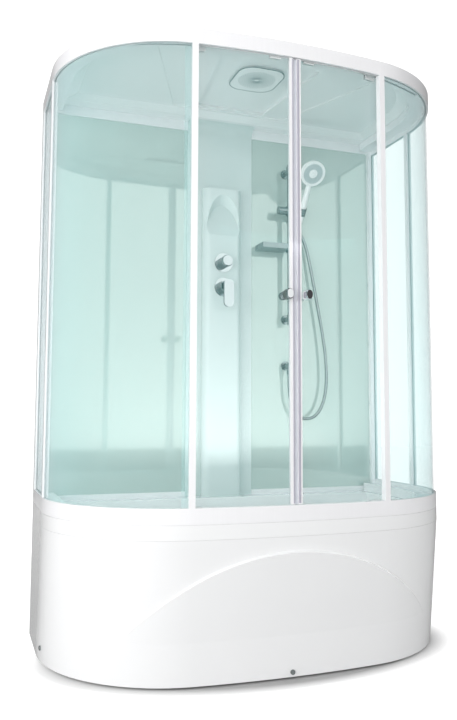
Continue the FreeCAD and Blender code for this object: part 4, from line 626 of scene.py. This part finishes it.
class CABIN_OT_fit_nozzles(bpy.types.Operator):
    """Fit the rain head and the hand shower with their nozzles"""

    bl_idname = "cabin.fit_nozzles"
    bl_label = "Fit the nozzles"

    def execute(self, context):
        sizes = context.scene.cabin_sizes
        low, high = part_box("rain_head")
        under = standing(Vector(((low.x + high.x) / 2, (low.y + high.y) / 2, low.z)), Vector((0, 0, -1)))
        self.field("rain_nozzles", sizes.rain_rings, sizes.rain_spokes, sizes.rain_inner, sizes.rain_step,
                   under, "cabin", "shadow_ring_and_nozzles")
        self.seam(low, high, sizes.shadow_ring_width)
        centre, facing, radius = disc_place("spray_face", HAND_LOOKS)
        front = standing(centre, facing)
        self.field("hand_nozzles", sizes.hand_rings, sizes.hand_spokes, radius * HAND_INNER,
                   radius * HAND_STEP, front, "handset", "spray_plastic")
        self.button(sizes.button_radius, sizes.button_height, front)
        return {"FINISHED"}

    def button(self, radius, crown, place):
        """The spray face's button, chamfered and slightly domed."""
        shape = bmesh.new()
        turned(shape, ((0, -BUTTON_SUNK), (radius, -BUTTON_SUNK), (radius, BUTTON_RIM),
                       (radius - BUTTON_EDGE, 2 * BUTTON_RIM), (0, crown)), place)
        new_piece("spray_button", mesh_of("spray_button", shape), "white_plastic", "handset")

    def seam(self, low, high, width):
        """Painted shadow: a dark strip round the foot of the rain head, where shade falls."""
        shape = bmesh.new()
        middle = (low + high) / 2
        rims = []
        for grow in (-SHADOW_RING_LAP, width):
            half_x, half_y = (high.x - low.x) / 2 + grow, (high.y - low.y) / 2 + grow
            bend = RAIN_ROUND + grow
            plan = []
            for quarter, (across, along) in enumerate(((1, 1), (-1, 1), (-1, -1), (1, -1))):
                for step in range(ROUND_STEPS + 1):
                    angle = (quarter + step / ROUND_STEPS) * math.pi / 2
                    plan.append((middle.x + across * (half_x - bend) + bend * math.cos(angle),
                                 middle.y + along * (half_y - bend) + bend * math.sin(angle)))
            rims.append(plan)
        ring(shape, *rims, low.z - SHADOW_RING_DROP, low.z + SHADOW_RING_RISE)
        new_piece("rain_seam", mesh_of("rain_seam", shape), "shadow_ring_and_nozzles", "cabin")

    def field(self, name, rings, spokes, inner, step, place, body, slot):
        """Rings of nozzles, set on the face that a place stands on."""
        recipe, nozzles = nozzle_field(name + "_recipe", rings, spokes, inner, step)
        mesh = recipe.made_from(nozzles, bpy.data.meshes.new(name), finish_of(slot))
        mesh.transform(place)
        new_piece(name, mesh, slot, body)


# across each stile's front, from the middle of the doorway, in metres
SEAL_LIPS = {"left_door": (-0.0112, -0.0069), "right_door": (0.0069, 0.0156)}
LIP_STEPS = 8  # points round a lip's front
LIP_INSET = 0.003  # from the ends of a stile to the ends of its lip


class CABIN_OT_line_stiles(bpy.types.Operator):
    """Line the stiles with the soft lips of their seals"""

    bl_idname = "cabin.line_stiles"
    bl_label = "Line the stiles"

    def execute(self, context):
        sizes = context.scene.cabin_sizes
        for body, (left, right) in SEAL_LIPS.items():
            low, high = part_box(body + "_stile")
            middle, half = (left + right) / 2, (right - left) / 2
            section = [(left, low.y + sizes.lip_height)]
            for step in range(LIP_STEPS + 1):
                angle = math.pi * step / LIP_STEPS
                section.append((middle - half * math.cos(angle), low.y - sizes.lip_height * math.sin(angle)))
            section.append((right, low.y + sizes.lip_height))
            shape = bmesh.new()
            bar(shape, section, low.z + LIP_INSET, high.z - LIP_INSET)
            new_piece(body + "_lip", mesh_of(body + "_lip", shape), "seal_lip", body)
        return {"FINISHED"}


SCREW_SIDES = 12
SCREW_SUNK = 0.0004  # how deep a screw's head sits in what it holds
POST_SCREWS, POST_END = 6, 0.12  # screws along a wall post, and from its ends to the first and the last
RIM_STAND = 0.004  # from the top of the upper rail to the face that the roof's screws sit on
# the line of the roof's screws: a long arc at the front, an arc at each front corner and straight runs behind
FRONT_RADIUS, FRONT_MIDDLE_Y, FRONT_DEGREES = 3.048, 2.680, (-5.4, -2.7, 0, 2.7, 5.4)
CORNER_RADIUS, CORNER_MIDDLE, CORNER_DEGREES = 0.423, (0.295, 0.0716), (-65, -35, -5)
SIDE_SCREW_Y, BACK_SCREW_Y, BACK_SCREWS_X = 0.28, 0.365, (0.62, 0.30)


def screw_template():
    """One pan-head screw along z with a round recess, as a loose object."""
    sizes = bpy.context.scene.cabin_sizes
    radius, tall = sizes.screw_radius, sizes.screw_height
    shape = bmesh.new()
    head = ((radius, 0.35 * tall), (0.86 * radius, 0.8 * tall), (0.52 * radius, tall))
    recess = ((0.44 * radius, 0.45 * tall), (0, 0.45 * tall))
    turned(shape, ((0, -SCREW_SUNK), (radius, -SCREW_SUNK), *head, *recess), Matrix(), SCREW_SIDES)
    return bpy.data.objects.new("screw_template", mesh_of("screw_template", shape))


def roof_screw_line():
    """The roof's screws in plan."""
    spots = []
    for degrees in FRONT_DEGREES:
        angle = math.radians(degrees)
        spots.append((FRONT_RADIUS * math.sin(angle), FRONT_MIDDLE_Y - FRONT_RADIUS * math.cos(angle)))
    middle_x, middle_y = CORNER_MIDDLE
    for side in (-1, 1):
        for degrees in CORNER_DEGREES:
            angle = math.radians(degrees)
            spots.append((side * (middle_x + CORNER_RADIUS * math.cos(angle)),
                          middle_y + CORNER_RADIUS * math.sin(angle)))
        spots.append((side * (middle_x + CORNER_RADIUS), SIDE_SCREW_Y))
        spots += [(side * x, BACK_SCREW_Y) for x in BACK_SCREWS_X]
    return spots


def screw_places():
    """Where the cabin's fixing screws are, and which way each head looks."""
    places = []
    for node, side in (("left_wall_post", -1), ("right_wall_post", 1)):
        low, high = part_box(node)
        pitch = (high.z - low.z - 2 * POST_END) / (POST_SCREWS - 1)
        inner = low.x if side > 0 else high.x
        for step in range(POST_SCREWS):
            z = low.z + POST_END + step * pitch
            places.append((((low.x + high.x) / 2, high.y, z), (0, 1, 0)))
            places.append(((inner, (low.y + high.y) / 2, z), (-side, 0, 0)))
    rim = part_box("upper_rail")[1].z + RIM_STAND
    places += [((x, y, rim), (0, 0, 1)) for x, y in roof_screw_line()]
    return places


class CABIN_OT_drive_screws(bpy.types.Operator):
    """Drive the fixing screws of the wall posts and the roof"""

    bl_idname = "cabin.drive_screws"
    bl_label = "Drive the screws"

    def execute(self, context):
        places = screw_places()
        mesh = bpy.data.meshes.new("screw_spots")
        mesh.from_pydata([place for place, _ in places], [], [])
        facing = mesh.attributes.new("facing", "FLOAT_VECTOR", "POINT")
        facing.data.foreach_set("vector", [c for _, way in places for c in way])
        template = screw_template()
        recipe = Recipe("fixing_screws_recipe")
        head = recipe.input("Screw", template, "NodeSocketObject")
        shape = recipe.node("GeometryNodeObjectInfo", inputs={"Object": head}, output="Geometry")
        way = recipe.node("GeometryNodeInputNamedAttribute", {"data_type": "FLOAT_VECTOR"},
                          {"Name": "facing"})
        turn = recipe.node("FunctionNodeAlignRotationToVector", {"axis": "Z"}, {"Vector": way})
        screws = recipe.node("GeometryNodeInstanceOnPoints",
                             inputs={"Points": recipe.source(), "Instance": shape, "Rotation": turn})
        made = recipe.made_from(screws, mesh, finish_of("bolt_steel"))
        bpy.data.objects.remove(template)
        new_piece("fixing_screws", made, "bolt_steel", "cabin")
        return {"FINISHED"}


FLOOR_REACH = 14.0  # from the middle of the floor to its edges
FLOOR_DARK, FLOOR_PALE = (0.41, 0.41, 0.41), (0.43, 0.43, 0.43)
PAINTED_SHADOW_OVAL = 1.75  # how much wider than deep the painted shadow round the cabin is, where the floor's own light is held back
GLOW_START, GLOW_FULL = 0.68, 0.80  # from the middle to where the floor's own light starts and is full, which is where the painted shadow ends
FAR_START, FAR_END, FAR_GLOW = 2.0, 9.0, 0.6  # where the floor pales towards the backdrop, and by how much
SHEEN_FRONT_Y, SHEEN_SIDE_Y = -0.75, -0.15  # directions where the mirrored room changes from front to side

# the lamps: width and depth, place, what each looks at, and how far its light spreads in degrees
OPEN, NARROW = 180, 55
LAMPS = {
    "key": ((6.0, 2.6), (-2.34, -4.32, 1.4), (0, 0, 0.8), OPEN),
    "left": ((3.0, 2.4), (-4.2, -1.2, 1.3), (-0.6, 0, 0.7), OPEN),
    "right": ((2.0, 1.0), (3.8, -0.8, 0.7), (0.7, 0, 0.35), NARROW),
    "top": ((4.0, 3.0), (-0.3, -1.3, 4.6), (0, -0.6, 0.0), OPEN),
    "back": ((4.0, 2.6), (0.6, 4.6, 2.2), (0, 0.4, 1.0), OPEN),
    "fill": ((0.5, 0.5), (0, -0.25, 1.55), (0, 0.42, 0.9), OPEN),
    "bounce": ((1.1, 0.5), (0, 0, 0.62), (0, 0, 2.0), OPEN),
}

# the photograph's camera, as fitted to the plan and the upright edges: angles in radians, the focal length
# and the middle of the view in pixels, the place in metres
YAW, PITCH, ROLL = 0.3396, 0.0884, 0.0037
FOCAL, MIDDLE_X, MIDDLE_Y = 747.81, 227.45, 346.6
CAMERA_PLACE = (-1.0187, -2.6073, 0.8421)


class CABIN_OT_build_stage(bpy.types.Operator):
    """Floor, soft lights and the camera"""

    bl_idname = "cabin.build_stage"
    bl_label = "Build the stage"

    def execute(self, context):
        scene, studio = context.scene, context.scene.cabin_studio
        scene.view_settings.view_transform = "Standard"
        self.floor(scene, studio)
        self.sky(scene, studio)
        self.lamps(scene, studio)
        self.camera(scene)
        return {"FINISHED"}

    def floor(self, scene, studio):
        """A pale floor with a painted shadow close to the cabin, where its own light is held back."""
        mesh = bpy.data.meshes.new("floor")
        corners = [(x * FLOOR_REACH, y * FLOOR_REACH, 0) for x, y in ((-1, -1), (1, -1), (1, 1), (-1, 1))]
        mesh.from_pydata(corners, [], [(0, 1, 2, 3)])
        floor = bpy.data.objects.new("floor", mesh)
        scene.collection.objects.link(floor)
        pale = Finish("pale_floor", Specular_IOR_Level=0.2, Emission_Strength=1.0)
        away = pale.node("ShaderNodeVectorMath", {"operation": "LENGTH"},
                         {0: pale.spot((1.0, PAINTED_SHADOW_OVAL, 1.0))}, output="Value")
        # painted shadow: no glow inside the oval round the cabin, so the floor there shows only the lamps'
        # light
        clear = pale.node("ShaderNodeMapRange", inputs={"Value": away, "From Min": GLOW_START,
                                                        "From Max": GLOW_FULL, "To Max": studio.floor_glow})
        far = pale.node("ShaderNodeMapRange", inputs={"Value": away, "From Min": FAR_START,
                                                      "From Max": FAR_END, "To Max": FAR_GLOW})
        seen = pale.node("ShaderNodeLightPath", output="Is Camera Ray")
        pale.set("Emission Color", pale.blend((clear + far) * seen, (0.0, 0.0, 0.0), (1.0, 1.0, 1.0)))
        pale.set("Base Color", pale.blend(pale.noise(2.0), FLOOR_DARK, FLOOR_PALE))
        pale.set("Roughness", 0.55 + 0.1 * pale.noise(30.0))
        mesh.materials.append(pale.material)

    def sky(self, scene, studio):
        """The room's light: one for surfaces, one for what gloss mirrors and one for the backdrop."""
        world = bpy.data.worlds.new("studio")
        scene.world = world
        world.use_nodes = True
        plan = Plan(world.node_tree)
        backdrop = world.node_tree.nodes["Background"]
        backdrop.inputs["Color"].default_value = (1.0, 1.0, 1.0, 1.0)
        way = plan.node("ShaderNodeTexCoord", output="Generated")
        across = plan.node("ShaderNodeSeparateXYZ", inputs={"Vector": way}, output="X")
        deep = plan.node("ShaderNodeSeparateXYZ", inputs={"Vector": way}, output="Y")
        sides = (studio.sky_left + studio.sky_right) / 2
        sky = (studio.sky_front + across * across * (sides - studio.sky_front)
               + across * (studio.sky_right - studio.sky_left) / 2)
        sheen = plan.node("ShaderNodeMapRange", {"interpolation_type": "SMOOTHSTEP"},
                          {"Value": deep, "From Min": SHEEN_FRONT_Y, "From Max": SHEEN_SIDE_Y,
                           "To Min": studio.sheen_front, "To Max": studio.sheen_side})
        seen = plan.node("ShaderNodeLightPath", output="Is Camera Ray")
        mirrored = plan.node("ShaderNodeLightPath", output="Is Glossy Ray")
        unseen = sky + mirrored * (sheen - sky)
        plan.feed(backdrop.inputs["Strength"], unseen + seen * (studio.backdrop - unseen))

    def lamps(self, scene, studio):
        """Large soft lamps that neither the camera nor gloss sees."""
        for name, (size, place, aim, spread) in LAMPS.items():
            light = bpy.data.lights.new(name, "AREA")
            light.shape = "RECTANGLE"
            light.energy = getattr(studio, name)
            light.size, light.size_y = size
            light.spread = math.radians(spread)
            lamp = bpy.data.objects.new(name, light)
            lamp.visible_glossy = lamp.visible_camera = False
            scene.collection.objects.link(lamp)
            lamp.location = place
            lamp.rotation_euler = (Vector(aim) - Vector(place)).to_track_quat("-Z", "Y").to_euler()

    def camera(self, scene):
        """The photograph's camera."""
        forward = Vector((math.sin(YAW) * math.cos(PITCH), math.cos(YAW) * math.cos(PITCH), math.sin(PITCH)))
        level = Vector((math.cos(YAW), -math.sin(YAW), 0.0))
        upright = level.cross(forward)
        right = math.cos(ROLL) * level + math.sin(ROLL) * upright
        up = math.cos(ROLL) * upright - math.sin(ROLL) * level
        data = bpy.data.cameras.new("photo")
        data.sensor_width = 36.0
        data.lens = data.sensor_width * FOCAL / PHOTO_HEIGHT
        data.shift_x = (PHOTO_WIDTH / 2 - MIDDLE_X) / PHOTO_HEIGHT
        data.shift_y = (MIDDLE_Y - PHOTO_HEIGHT / 2) / PHOTO_HEIGHT
        camera = bpy.data.objects.new("photo", data)
        scene.collection.objects.link(camera)
        turn = Matrix((right, up, -forward)).transposed()
        camera.matrix_world = Matrix.Translation(CAMERA_PLACE) @ turn.to_4x4()
        scene.camera = camera


OPERATORS = (CABIN_OT_dress_frame, CABIN_OT_hang_hose, CABIN_OT_fit_nozzles, CABIN_OT_line_stiles,
             CABIN_OT_drive_screws, CABIN_OT_build_stage)


class CABIN_PT_looks(bpy.types.Panel):
    """Lists the steps that dress the cabin"""

    bl_idname = "CABIN_PT_looks"
    bl_label = "Shower cabin"
    bl_space_type = "VIEW_3D"
    bl_region_type = "UI"
    bl_category = "Cabin"

    def draw(self, context):
        for operator in OPERATORS:
            self.layout.operator(operator.bl_idname)
        for group in ("cabin_colours", "cabin_sizes", "cabin_studio"):
            settings = getattr(context.scene, group)
            for name in settings.bl_rna.properties.keys():
                if name not in ("rna_type", "name"):
                    self.layout.prop(settings, name)


GROUPS = {"cabin_colours": CabinColours, "cabin_sizes": CabinSizes, "cabin_studio": CabinStudio}
CLASSES = (*GROUPS.values(), *OPERATORS, CABIN_PT_looks)


def register():
    for each in CLASSES:
        bpy.utils.register_class(each)
    for name, group in GROUPS.items():
        setattr(bpy.types.Scene, name, PointerProperty(type=group))


def unregister():
    for name in GROUPS:
        delattr(bpy.types.Scene, name)
    for each in reversed(CLASSES):
        bpy.utils.unregister_class(each)


def main():
    register()
    for operator in OPERATORS:
        family, name = operator.bl_idname.split(".")
        getattr(getattr(bpy.ops, family), name)()


if __name__ == "__main__":
    main()
